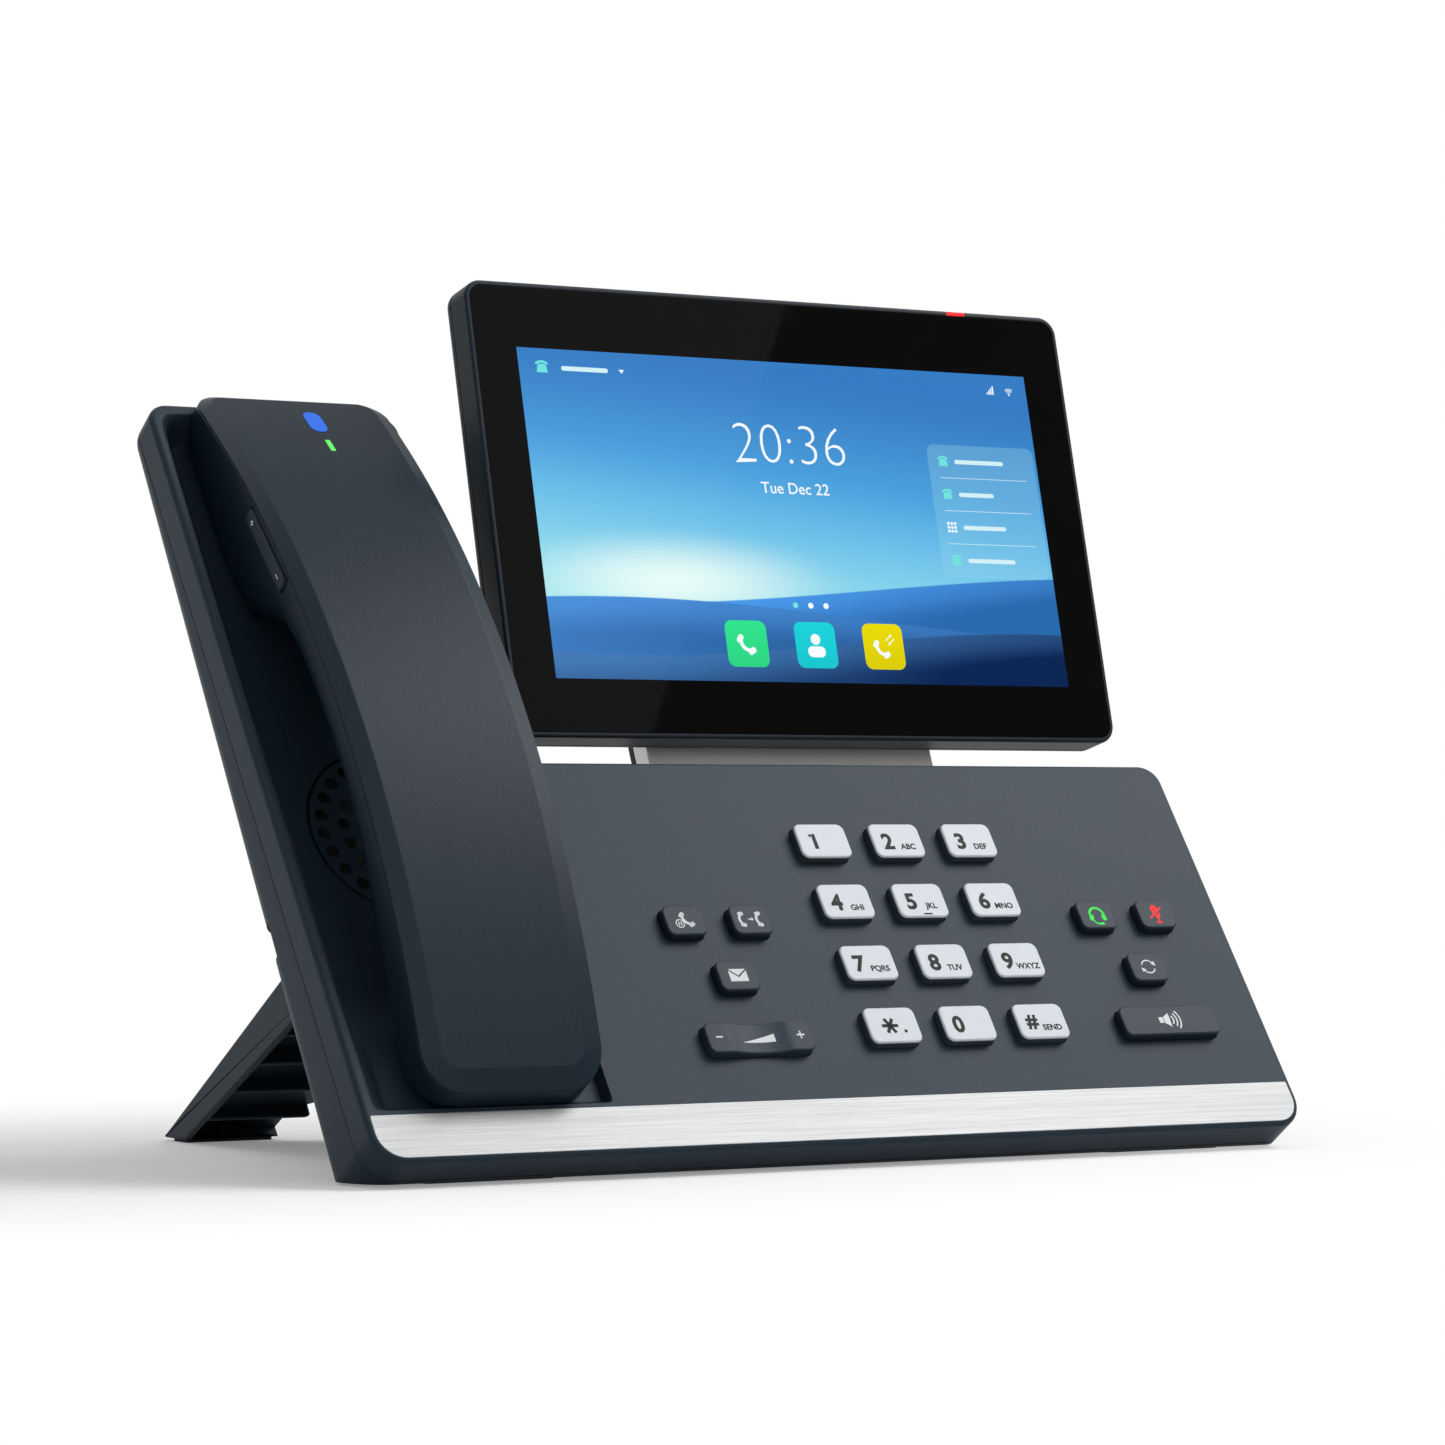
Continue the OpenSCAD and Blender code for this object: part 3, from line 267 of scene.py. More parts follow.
class Finish:
    """A named surface. Each kind builds its own shader."""

    name: str

    def material(self) -> bpy.types.Material:
        """Returns the finish's material, which is built on first use."""
        found = bpy.data.materials.get(self.name)
        if found:
            return found
        made = bpy.data.materials.new(self.name)
        made.use_nodes = True
        graph = Graph(made.node_tree)
        shader = graph.add("ShaderNodeBsdfPrincipled")
        out = graph.add("ShaderNodeOutputMaterial")
        graph.tree.links.new(shader.outputs[0], out.inputs[0])
        self.paint(graph, shader)
        return made

    def paint(self, graph: Graph, shader: bpy.types.Node) -> None:
        """Sets the shader's sockets."""
        raise NotImplementedError

    @staticmethod
    def place(graph: Graph) -> Wire:
        """Position on the piece, in metres."""
        return graph.wire("ShaderNodeTexCoord", output="Object")

    @staticmethod
    def noise(graph: Graph, place: Wire, scale: float, detail: float = 2.0) -> Wire:
        """Noise from 0 to 1 at a scale per metre."""
        inputs = {"Vector": place, "Scale": scale, "Detail": detail}
        return graph.wire("ShaderNodeTexNoise", None, inputs)

    @staticmethod
    def bump(graph: Graph, height: Wire, depth_m: float) -> Wire:
        """Normal from a height that runs from 0 to 1 over a depth."""
        inputs = {"Height": height, "Distance": depth_m, "Strength": 1.0}
        return graph.wire("ShaderNodeBump", None, inputs)

    @staticmethod
    def light_up(graph: Graph, shader: bpy.types.Node, colour: Wire) -> None:
        """Makes a surface that gives its own light and takes none from the room."""
        graph.feed(shader, {"Emission Color": colour, "Emission Strength": 1.0, "Base Color": BLACK,
                            "Roughness": 0.03, "Specular IOR Level": 0.03})


@dataclass(frozen=True)
class MouldedPlastic(Finish):
    """Spark-eroded plastic: a fine even grain with slight clouding."""

    name: str
    colour: Colour
    roughness: float = 0.44
    grain_m: float = 0.000025
    grain_scale: float = 1200.0
    clouding: float = 0.24
    specular: float = 0.12
    uneven: float = 0.03

    def paint(self, graph: Graph, shader: bpy.types.Node) -> None:
        """Mixes two near shades, and roughens the surface with its grain."""
        place = self.place(graph)
        grain = self.noise(graph, place, self.grain_scale, 1.0)
        cloud = self.noise(graph, place, 35.0, 3.0)
        dark, light = (shade(self.colour, 1.0 + way * self.clouding) for way in (-1, 1))
        graph.feed(shader, {
            "Base Color": (cloud * 0.4 + grain * 0.6).between(dark, light),
            "Roughness": self.roughness - self.uneven + cloud * self.uneven + grain * self.uneven,
            "Normal": self.bump(graph, grain, self.grain_m),
            "Specular IOR Level": self.specular,
        })


@dataclass(frozen=True)
class BrushedMetal(Finish):
    """Metal brushed along X under clear lacquer, with fine lines of uneven length."""

    name: str
    colour: Colour
    roughness: float = 0.38
    metallic: float = 0.15
    fine: Point3 = (45.0, 5200.0, 5200.0)
    coarse: Point3 = (12.0, 900.0, 900.0)
    line_m: float = 0.00002

    def paint(self, graph: Graph, shader: bpy.types.Node) -> None:
        """Stretches noise along the brushing for colour, roughness and relief."""
        place = self.place(graph)
        lines, wide = (
            self.noise(graph, graph.wire("ShaderNodeMapping", None, {
                "Vector": place, "Scale": scale}), 1.0, detail)
            for scale, detail in ((self.fine, 3.0), (self.coarse, 2.0)))
        tone = (lines * 0.65 + wide * 0.35).ramp(0.3, 0.72)
        graph.feed(shader, {
            "Base Color": tone.between(shade(self.colour, 0.68), shade(self.colour, 1.22)),
            "Roughness": self.roughness + tone * 0.12,
            "Normal": self.bump(graph, lines, self.line_m),
            "Metallic": self.metallic,
        })


@dataclass(frozen=True)
class SatinPaint(Finish):
    """Paint with fine flakes under a thin clear coat."""

    name: str
    colour: Colour
    roughness: float = 0.3
    metallic: float = 0.0
    coat: float = 0.3
    flake: float = 0.03
    peel_m: float = 0.000006

    def paint(self, graph: Graph, shader: bpy.types.Node) -> None:
        """Varies the tone by flake, and adds a faint orange peel."""
        place = self.place(graph)
        flakes = self.noise(graph, place, 9000.0, 0.0)
        peel = self.noise(graph, place, 500.0, 1.0)
        dark, light = (shade(self.colour, 1.0 + way * self.flake) for way in (-1, 1))
        graph.feed(shader, {
            "Base Color": flakes.between(dark, light),
            "Roughness": self.roughness + flakes * 0.05,
            "Normal": self.bump(graph, peel, self.peel_m),
            "Metallic": self.metallic,
            "Coat Weight": self.coat,
            "Specular IOR Level": 0.2,
        })


@dataclass(frozen=True)
class PlainMetal(Finish):
    """Turned or plated metal with fine scratches."""

    name: str
    colour: Colour
    roughness: float = 0.28

    def paint(self, graph: Graph, shader: bpy.types.Node) -> None:
        """Gives the metal its colour and worn roughness."""
        wear = self.noise(graph, self.place(graph), 1400.0, 4.0)
        graph.feed(shader, {
            "Base Color": wear.between(self.colour, shade(self.colour, 0.8)),
            "Roughness": self.roughness + wear * 0.15,
            "Metallic": 1.0,
        })


@dataclass(frozen=True)
class Rubber(Finish):
    """Matt rubber or silicone."""

    name: str
    colour: Colour
    roughness: float = 0.78
    dust_m: float = 0.00004

    def paint(self, graph: Graph, shader: bpy.types.Node) -> None:
        """Dusts the surface lightly."""
        dust = self.noise(graph, self.place(graph), 900.0, 4.0)
        light = shade(self.colour, 1.35, 0.01)
        graph.feed(shader, {
            "Base Color": dust.ramp(0.4, 0.8).between(self.colour, light),
            "Roughness": self.roughness + dust * 0.12,
            "Normal": self.bump(graph, dust, self.dust_m),
        })


@dataclass(frozen=True)
class CircuitBoard(Finish):
    """Solder mask over copper tracks."""

    name: str
    colour: Colour = (0.012, 0.11, 0.045)
    track_m: float = 0.00003

    def paint(self, graph: Graph, shader: bpy.types.Node) -> None:
        """Draws faint tracks as the edges of square cells."""
        inputs = {"Vector": self.place(graph), "Scale": 260.0}
        settings = {"distance": "CHEBYCHEV", "feature": "F1"}
        cells = graph.wire("ShaderNodeTexVoronoi", settings, inputs, "Distance")
        tracks = (cells * 9.0).sin().ramp(0.2, 0.9)
        graph.feed(shader, {
            "Base Color": tracks.between(self.colour, shade(self.colour, 1.9)),
            "Normal": self.bump(graph, tracks, self.track_m),
            "Roughness": 0.35,
        })


@dataclass(frozen=True)
class BlackGlass(Finish):
    """Cover glass printed black on its back."""

    name: str = "cover glass"
    roughness: float = 0.025
    dark: Colour = (0.0012, 0.0012, 0.0014)
    light: Colour = (0.002, 0.002, 0.0024)

    def paint(self, graph: Graph, shader: bpy.types.Node) -> None:
        """Leaves only a faint smear on a mirror-smooth face."""
        smear = self.noise(graph, self.place(graph), 60.0, 5.0)
        graph.feed(shader, {
            "Roughness": self.roughness + smear.ramp(0.55, 0.95) * 0.03,
            "Base Color": smear.between(self.dark, self.light),
            "Specular IOR Level": 0.03,
        })


@dataclass(frozen=True)
class Ink(Finish):
    """Printed ink or a small lens, which may glow a little."""

    name: str
    colour: Colour
    glow: float = 0.0

    def paint(self, graph: Graph, shader: bpy.types.Node) -> None:
        """Prints the colour with the slight unevenness of a pad print."""
        uneven = self.noise(graph, self.place(graph), 2200.0, 2.0)
        colour = uneven.between(self.colour, shade(self.colour, 0.94))
        graph.feed(shader, {
            "Base Color": colour, "Roughness": 0.4 + uneven * 0.1, "Specular IOR Level": 0.1})
        if self.glow:
            graph.feed(shader, {"Emission Color": colour, "Emission Strength": self.glow})


@dataclass(frozen=True)
class ScreenLight(Finish):
    """Screen marks that give their own light and take none from the room."""

    name: str
    colour: Colour
    alpha: float = 1.0
    fade: float = 0.0

    def paint(self, graph: Graph, shader: bpy.types.Node) -> None:
        """Lights the mark evenly, or a little less towards its lower end."""
        _, up = graph.plane("UV")
        dim = shade(self.colour, 1.0 - self.fade)
        self.light_up(graph, shader, (1.0 - up).between(self.colour, dim))
        graph.feed(shader, {"Alpha": self.alpha})


@dataclass(frozen=True)
class Wallpaper(Finish):
    """Lit picture: a blue sky over rolling bands, with a pale glow low at the left."""

    name: str = "lit picture"
    sky_high: Colour = (0.035, 0.20, 0.55)
    sky_mid: Colour = (0.085, 0.42, 0.80)
    sky_low: Colour = (0.33, 0.80, 0.86)
    glow: Colour = (0.80, 0.97, 0.93)
    band_far: Colour = (0.020, 0.14, 0.42)
    band_near: Colour = (0.001, 0.017, 0.09)
    crest_rise: Colour = (0.05, 0.16, 0.34)

    def paint(self, graph: Graph, shader: bpy.types.Node) -> None:
        """Builds sky, glow and three bands from the picture's own UV map."""
        x, y = graph.plane("UV")
        sky = (y + x * 0.16).ramp(1.06, 0.50).between(self.sky_high, self.sky_mid)
        low = (y + x * 0.20).ramp(0.78, 0.16)
        sky = low.between(sky, self.sky_low)
        far = ((x - 0.24) ** 2.0 * 1.3 + (y - 0.30) ** 2.0 * 5.5) ** 0.5
        sky = far.ramp(0.42, 0.0).between(sky, self.glow)
        band_mid = tuple((a + b) / 2 for a, b in zip(self.band_far, self.band_near))
        picture = sky
        for level, waves, phase, height, colour in (
                (0.29, 2.9, -1.8, 0.060, self.band_far), (0.20, 3.4, 1.1, 0.050, band_mid),
                (0.12, 4.0, -2.2, 0.045, self.band_near)):
            picture = self.band(picture, x, y, level, waves, phase, height, colour)
        self.light_up(graph, shader, picture)

    def band(self, under: Wire, x: Wire, y: Wire, level: float, waves: float,
             phase: float, height: float, colour: Colour) -> Wire:
        """Lays one rolling band over the picture.

        Args:
            under: The picture so far.
            x: Position across, 0 to 1.
            y: Position up, 0 to 1.
            level: Mean height of the band's crest.
            waves: Waves across the picture, in radians.
            phase: Where the wave starts.
            height: Height of the wave.
            colour: The band's colour at its foot.

        Returns:
            The picture with the band on it.
        """
        crest = (x * waves + phase).sin() * height + level
        below = crest - y
        lit = tuple(min(1.0, c * 1.4 + rise) for c, rise in zip(colour, self.crest_rise))
        tone = (below.ramp(0.0, 0.12) * 0.5 - 0.1 + x * 0.8).between(lit, colour)
        return below.ramp(-0.002, 0.003).between(under, tone)


SLATE = MouldedPlastic("slate plastic", (0.018, 0.034, 0.050))
SLATE_DARK = MouldedPlastic("dark slate plastic", (0.013, 0.022, 0.031))
# The handset is the base's slate plastic; its darker colour here is painted shade.
SHADED_HAND_SLATE = MouldedPlastic(
    "handset plastic darkened as painted shade", (0.008, 0.019, 0.031), roughness=0.36, specular=0.1)
KEY_SIDE = MouldedPlastic("key skirt", (0.045, 0.055, 0.066), roughness=0.36)
KEY_DARK = MouldedPlastic("dark key", (0.024, 0.039, 0.055), roughness=0.42)
BLACK_PLASTIC = MouldedPlastic(
    "black socket plastic", (0.012, 0.012, 0.014), roughness=0.4)
CONE_PAPER = Rubber("speaker cone", (0.02, 0.02, 0.022))
KEY_SILVER = SatinPaint("silver key top", (0.74, 0.78, 0.83), roughness=0.35, coat=0.05)
NECK_SILVER = SatinPaint("silver neck", (0.80, 0.785, 0.77), roughness=0.75, metallic=1.0)
STRIP_METAL = BrushedMetal("brushed strip", (0.50, 0.505, 0.51))
STEEL = PlainMetal("screw steel", (0.56, 0.56, 0.58))
GOLD = PlainMetal("gold plate", (0.83, 0.62, 0.26))
FOIL = PlainMetal("cell foil", (0.72, 0.73, 0.75), roughness=0.38)
PAD_RUBBER = Rubber("pad rubber", (0.016, 0.016, 0.018))
DOME_SILICONE = Rubber("dome silicone", (0.42, 0.44, 0.45), roughness=0.6)
BOARD = CircuitBoard("solder mask")
GLASS = BlackGlass()
PICTURE = Wallpaper()
INK_BLACK = Ink("black print", (0.004, 0.004, 0.005))
INK_WHITE = Ink("white print", (0.80, 0.82, 0.84), glow=0.10)
INK_GREEN = Ink("green mark", (0.03, 0.62, 0.06), glow=0.55)
INK_RED = Ink("red mark", (0.80, 0.012, 0.012), glow=0.55)
LENS_RED = Ink("red lens", (0.85, 0.010, 0.012), glow=0.7)
LENS_BLUE = Ink("blue lens", (0.02, 0.12, 0.60), glow=0.6)
LENS_GREEN = Ink("green lens", (0.10, 0.70, 0.10), glow=0.7)
MARK_WHITE = ScreenLight("white screen mark", (0.92, 0.97, 1.0))
MARK_SOFT = ScreenLight("soft screen mark", (0.66, 0.88, 0.93))
MARK_TEAL = ScreenLight("teal screen mark", (0.16, 0.78, 0.72))
MARK_VEIL = ScreenLight("screen veil", (0.30, 0.68, 0.82), alpha=0.25)
TILE_GREEN = ScreenLight("green tile", (0.03, 0.78, 0.27), fade=0.15)
TILE_CYAN = ScreenLight("cyan tile", (0.01, 0.66, 0.72), fade=0.15)
TILE_YELLOW = ScreenLight("yellow tile", (0.83, 0.72, 0.0), fade=0.15)


# ---- Shapes ----


class Join(Enum):
    """How two closed meshes are combined."""

    CUT = "DIFFERENCE"
    KEEP = "INTERSECT"
    ADD = "UNION"


@dataclass(frozen=True)
class Outline:
    """A closed outline with round corners, run anticlockwise.

    Attributes:
        corners: The sharp corners.
        radii: One radius for each corner.
        arc_steps: Steps in each round corner.
        side_steps: Steps of each side after its corner, or none for one step each.
    """

    corners: tuple[Point, ...]
    radii: tuple[float, ...]
    arc_steps: int = 8
    side_steps: tuple[int, ...] = ()

    def ring(self, inset: float = 0.0) -> list[Point]:
        """Points of the outline moved inwards.

        Args:
            inset: How far the outline moves inwards.

        Returns:
            The points, as many for every inset.
        """
        arcs = []
        count = len(self.corners)
        for i, (corner, radius) in enumerate(zip(self.corners, self.radii)):
            before = Vector(self.corners[i - 1])
            after = Vector(self.corners[(i + 1) % count])
            here = Vector(corner)
            along, onward = (here - before).normalized(), (after - here).normalized()
            side_in, side_out = Vector((-along.y, along.x)), Vector((-onward.y, onward.x))
            moved = here + (side_in + side_out) * (inset / (1.0 + side_in.dot(side_out)))
            turn = math.atan2(along.x * onward.y - along.y * onward.x, along.dot(onward))
            sign = 1.0 if turn > 0 else -1.0
            reach = max(radius - inset * sign, 0.02)
            start = moved - along * (reach * math.tan(abs(turn) / 2))
            centre = start + side_in * (reach * sign)
            first = math.atan2(start.y - centre.y, start.x - centre.x)
            arcs.append([
                (centre.x + reach * math.cos(first + turn * k / self.arc_steps),
                 centre.y + reach * math.sin(first + turn * k / self.arc_steps))
                for k in range(self.arc_steps + 1)
            ])
        points: list[Point] = []
        for i, arc in enumerate(arcs):
            points.extend(arc)
            if self.side_steps:
                target, steps = arcs[(i + 1) % count][0], self.side_steps[i]
                points.extend(
                    (arc[-1][0] + (target[0] - arc[-1][0]) * k / steps,
                     arc[-1][1] + (target[1] - arc[-1][1]) * k / steps)
                    for k in range(1, steps)
                )
        return points


def rectangle(x0: float, y0: float, x1: float, y1: float, radius: float, steps: int = 8,
              side_steps: tuple[int, ...] = ()) -> Outline:
    """Outline of a rectangle with equal round corners."""
    corners = ((x0, y0), (x1, y0), (x1, y1), (x0, y1))
    return Outline(corners, (radius,) * 4, steps, side_steps)


def centred(cx: float, cy: float, width: float, height: float, radius: float, steps: int = 8,
            side_steps: tuple[int, ...] = ()) -> Outline:
    """Outline of a rectangle about a centre."""
    return rectangle(cx - width / 2, cy - height / 2, cx + width / 2, cy + height / 2, radius,
                     steps, side_steps)


class Shell:
    """Collects the points and faces of one closed mesh."""

    def __init__(self) -> None:
        """Starts empty."""
        self.points: list[Point3] = []
        self.faces: list[tuple[int, ...]] = []
        self.tags: list[int] = []

    def ring(self, points: Iterable[Point3]) -> list[int]:
        """Adds a ring of points and returns their numbers."""
        first = len(self.points)
        self.points.extend(tuple(p) for p in points)
        return list(range(first, len(self.points)))

    def skin(self, low: Sequence[int], high: Sequence[int], tag: int = 0) -> None:
        """Joins two rings of the same count, the lower first for outward faces."""
        count = len(low)
        for i in range(count):
            j = (i + 1) % count
            self.face((low[i], low[j], high[j], high[i]), tag)

    def face(self, corners: Sequence[int], tag: int = 0) -> None:
        """Adds one face with a finish number."""
        self.faces.append(tuple(corners))
        self.tags.append(tag)

    def loft(self, rings: Sequence[Sequence[Point3]], tags: Sequence[int] | None = None,
             seam: int | None = None) -> "Shell":
        """Skins rings from the lowest to the highest and closes both ends.

        Args:
            rings: Rings of the same count, anticlockwise seen from above.
            tags: Finish number of each band, then of the top.
            seam: Point after which a ring's short closing side starts, for curved ends that are
                filled by strips across. None fills each end with one flat face.

        Returns:
            This shell.
        """
        levels = [self.ring(r) for r in rings]
        tags = tags or [0] * len(levels)
        for k, (low, high) in enumerate(zip(levels, levels[1:])):
            self.skin(low, high, tags[k])
        if seam is None:
            self.face(tuple(reversed(levels[0])), tags[0])
            self.face(levels[-1], tags[-1])
        else:
            self.strips(levels[0], seam, tags[0], True)
            self.strips(levels[-1], seam, tags[-1], False)
        return self

    def strips(self, ring: Sequence[int], seam: int, tag: int, under: bool) -> None:
        """Fills a symmetric ring with strips from side to side.

        Args:
            ring: The ring's point numbers.
            seam: Number in the ring of the first pair's first point.
            tag: The strips' finish number.
            under: Whether the fill faces down.
        """
        count = len(ring)
        for j in range(count // 2 - 1):
            strip = (ring[(seam - j) % count], ring[(seam + 1 + j) % count],
                     ring[(seam + 2 + j) % count], ring[(seam - 1 - j) % count])
            self.face(tuple(reversed(strip)) if under else strip, tag)

    def mesh(self, name: str, repair: bool = False) -> bpy.types.Mesh:
        """Turns the shell into a mesh.

        Args:
            name: The mesh's name.
            repair: Merges doubles and turns the faces outwards.

        Returns:
            The mesh.
        """
        made = bpy.data.meshes.new(name)
        made.from_pydata(self.points, [], self.faces)
        made.polygons.foreach_set("material_index", self.tags)
        if repair:
            tidy(made)
        made.update()
        return made


def tidy(mesh: bpy.types.Mesh, distance: float = 1e-4, outward: bool = True) -> None:
    """Merges doubles in a mesh, and turns its faces outwards if asked."""
    work = bmesh.new()
    work.from_mesh(mesh)
    bmesh.ops.remove_doubles(work, verts=work.verts, dist=distance)
    if outward:
        bmesh.ops.recalc_face_normals(work, faces=work.faces)
    work.to_mesh(mesh)
    work.free()


def joined_flats(mesh: bpy.types.Mesh, degrees: float = 0.2) -> bpy.types.Mesh:
    """Joins faces that lie in one plane, so that the plane shades evenly."""
    work = bmesh.new()
    work.from_mesh(mesh)
    bmesh.ops.dissolve_limit(
        work, angle_limit=math.radians(degrees), verts=work.verts, edges=work.edges)
    work.to_mesh(mesh)
    work.free()
    return mesh


def quarter(steps: int) -> list[float]:
    """Even angles from 0 to a right angle."""
    return [math.pi / 2 * k / steps for k in range(steps + 1)]


def upper_edge(radius: float, top: float, steps: int) -> list[Point]:
    """Insets and heights along a rounded upper edge."""
    return [(radius * (1 - math.cos(a)), top - radius * (1 - math.sin(a))) for a in quarter(steps)]


def lower_edge(radius: float, low: float, steps: int) -> list[Point]:
    """Insets and heights along a rounded lower edge."""
    return [(radius * (1 - math.sin(a)), low + radius * (1 - math.cos(a))) for a in quarter(steps)]


def lofted(outline: Outline, heights: Sequence[Point], tags: Sequence[int] | None = None,
           seam: int | None = None) -> Shell:
    """Solid through an outline's rings.

    Args:
        outline: The solid's outline.
        heights: Inset and height of each ring, the lowest first.
        tags: Finish number of each band, then of the top.
        seam: As for Shell.loft.

    Returns:
        The solid.
    """
    rings = [[(x, y, z) for x, y in outline.ring(inset)] for inset, z in heights]
    return Shell().loft(rings, tags, seam)


def slab(outline: Outline, low: float, high: float, soft: float = 0.0, steps: int = 3,
         soft_low: float = 0.0, inset: float = 0.0) -> bpy.types.Mesh:
    """Solid between two heights with rounded upper and lower edges.

    Args:
        outline: The solid's outline.
        low: Height of its underside.
        high: Height of its top.
        soft: Radius of its upper edge.
        steps: Steps in each rounded edge.
        soft_low: Radius of its lower edge.
        inset: How far its sides lie inside the outline.

    Returns:
        The solid's mesh.
    """
    lower = lower_edge(soft_low, low, steps) if soft_low else [(0.0, low)]
    upper = upper_edge(soft, high, steps) if soft else [(0.0, high)]
    heights = [(inset + moved, z) for moved, z in lower + upper]
    return lofted(outline, heights).mesh("slab")


def combine(first: bpy.types.Mesh, second: bpy.types.Mesh, how: Join) -> bpy.types.Mesh:
    """Combines two closed meshes.

    Args:
        first: The mesh that is changed.
        second: The other mesh.
        how: What is kept.

    Returns:
        A new mesh.
    """
    body, tool = linked("work", first), linked("tool", second)
    change = body.modifiers.new("join", "BOOLEAN")
    change.operation = how.value
    change.solver = "MANIFOLD"
    change.object = tool
    result = applied(body)
    bpy.data.objects.remove(tool)
    return result


def linked(name: str, data: bpy.types.ID) -> bpy.types.Object:
    """New object that stands in the scene."""
    item = bpy.data.objects.new(name, data)
    bpy.context.scene.collection.objects.link(item)
    return item


def evaluated(item: bpy.types.Object) -> bpy.types.Mesh:
    """Plain mesh of an object with its modifiers applied."""
    bpy.context.view_layer.update()
    graph = bpy.context.evaluated_depsgraph_get()
    return bpy.data.meshes.new_from_object(item.evaluated_get(graph))


def applied(item: bpy.types.Object) -> bpy.types.Mesh:
    """Plain mesh of a working object, which is removed."""
    result = evaluated(item)
    bpy.data.objects.remove(item)
    return result


def node_copy(frame: dict, node: str, into: Matrix) -> bpy.types.Mesh:
    """Merged copy of a CAD node's mesh in an assembly's own millimetres.

    Args:
        node: The node's name.
        into: The assembly's matrix from its millimetres to metres.

    Returns:
        The copy.
    """
    mesh = frame["nodes"][node].data.copy()
    mesh.transform(into.inverted())
    tidy(mesh, 2e-4, outward=False)
    return mesh


def lettering(text: str, size: float, weight: float) -> bpy.types.Mesh:
    """Flat mesh of a few characters, centred on their own box.

    Args:
        text: The characters.
        size: Height of the line.
        weight: How far the strokes are thickened.

    Returns:
        The flat mesh.
    """
    curve = bpy.data.curves.new("letters", "FONT")
    curve.body = text
    curve.size = size
    curve.offset = weight
    curve.align_x = "CENTER"
    curve.align_y = "CENTER"
    curve.resolution_u = 4
    mesh = applied(linked("letters", curve))
    tidy(mesh, 1e-5, outward=False)
    xs = [v.co.x for v in mesh.vertices]
    ys = [v.co.y for v in mesh.vertices]
    mesh.transform(Matrix.Translation((-(min(xs) + max(xs)) / 2, -(min(ys) + max(ys)) / 2, 0)))
    return mesh


def raised(flat: bpy.types.Mesh, depth: float) -> bpy.types.Mesh:
    """Turns a flat mesh into a closed one that goes down by a depth."""
    work = bmesh.new()
    work.from_mesh(flat)
    for face in work.faces:
        if face.normal.z < 0:
            face.normal_flip()
    top = list(work.faces)
    made = bmesh.ops.extrude_face_region(work, geom=top, use_keep_orig=True)
    for item in made["geom"]:
        if isinstance(item, bmesh.types.BMVert):
            item.co.z -= depth
        elif isinstance(item, bmesh.types.BMFace):
            item.normal_flip()
    bmesh.ops.recalc_face_normals(work, faces=work.faces)
    work.to_mesh(flat)
    work.free()
    return flat


def stroke(points: Sequence[Point], width: float, closed: bool = False) -> bpy.types.Mesh:
    """Flat band of one width along a path.

    Args:
        points: The path.
        width: The band's width.
        closed: Whether the path returns to its start.

    Returns:
        The flat mesh.
    """
    count = len(points)
    verts, faces = [], []
    for i, (x, y) in enumerate(points):
        before = points[i - 1] if closed or i else points[0]
        after = points[(i + 1) % count] if closed or i < count - 1 else points[-1]
        ahead = Vector((after[0] - before[0], after[1] - before[1])).normalized()
        side = Vector((-ahead.y, ahead.x)) * (width / 2)
        verts += [(x + side.x, y + side.y, 0.0), (x - side.x, y - side.y, 0.0)]
    for i in range(count if closed else count - 1):
        j = (i + 1) % count
        faces.append((2 * i, 2 * i + 1, 2 * j + 1, 2 * j))
    mesh = bpy.data.meshes.new("stroke")
    mesh.from_pydata(verts, [], faces)
    return mesh


def arc(cx: float, cy: float, radius: float, start: float, sweep: float,
        steps: int = 20) -> list[Point]:
    """Points of an arc, angles in degrees."""
    turns = [math.radians(start + sweep * k / steps) for k in range(steps + 1)]
    return [(cx + radius * math.cos(a), cy + radius * math.sin(a)) for a in turns]


def patch(points: Sequence[Point]) -> bpy.types.Mesh:
    """Flat filled polygon."""
    mesh = bpy.data.meshes.new("patch")
    mesh.from_pydata([(x, y, 0.0) for x, y in points], [], [tuple(range(len(points)))])
    return mesh


def pad(cx: float, cy: float, width: float, height: float, radius: float,
        steps: int) -> bpy.types.Mesh:
    """Flat rectangle with round corners."""
    return patch(centred(cx, cy, width, height, radius, steps).ring())


def disc(cx: float, cy: float, radius: float, steps: int) -> bpy.types.Mesh:
    """Flat disc."""
    return patch(arc(cx, cy, radius, 0, 360, steps)[:-1])


def merged(*parts: bpy.types.Mesh | tuple[bpy.types.Mesh, Matrix]) -> bpy.types.Mesh:
    """Joins meshes into one, each as it lies or placed by its matrix."""
    work = bmesh.new()
    for part in parts:
        mesh, place = part if isinstance(part, tuple) else (part, Matrix())
        piece = mesh.copy()
        piece.transform(place)
        work.from_mesh(piece)
        bpy.data.meshes.remove(piece)
    result = bpy.data.meshes.new("joined")
    work.to_mesh(result)
    work.free()
    return result


def at(x: float, y: float, z: float = 0.0, turn: float = 0.0, scale: float = 1.0) -> Matrix:
    """Placement by a shift, a turn in degrees about Z and a scale."""
    turned = Matrix.Rotation(math.radians(turn), 4, "Z")
    return Matrix.Translation((x, y, z)) @ turned @ Matrix.Scale(scale, 4)


def smooth(value: float, low: float, high: float) -> float:
    """Smooth step from 0 at low to 1 at high."""
    t = min(1.0, max(0.0, (value - low) / (high - low)))
    return t * t * (3.0 - 2.0 * t)


def spread(start: float, end: float, steps: int) -> list[float]:
    """Even values from start to end."""
    return [start + (end - start) * k / steps for k in range(steps + 1)]


# ---- Repeats ----


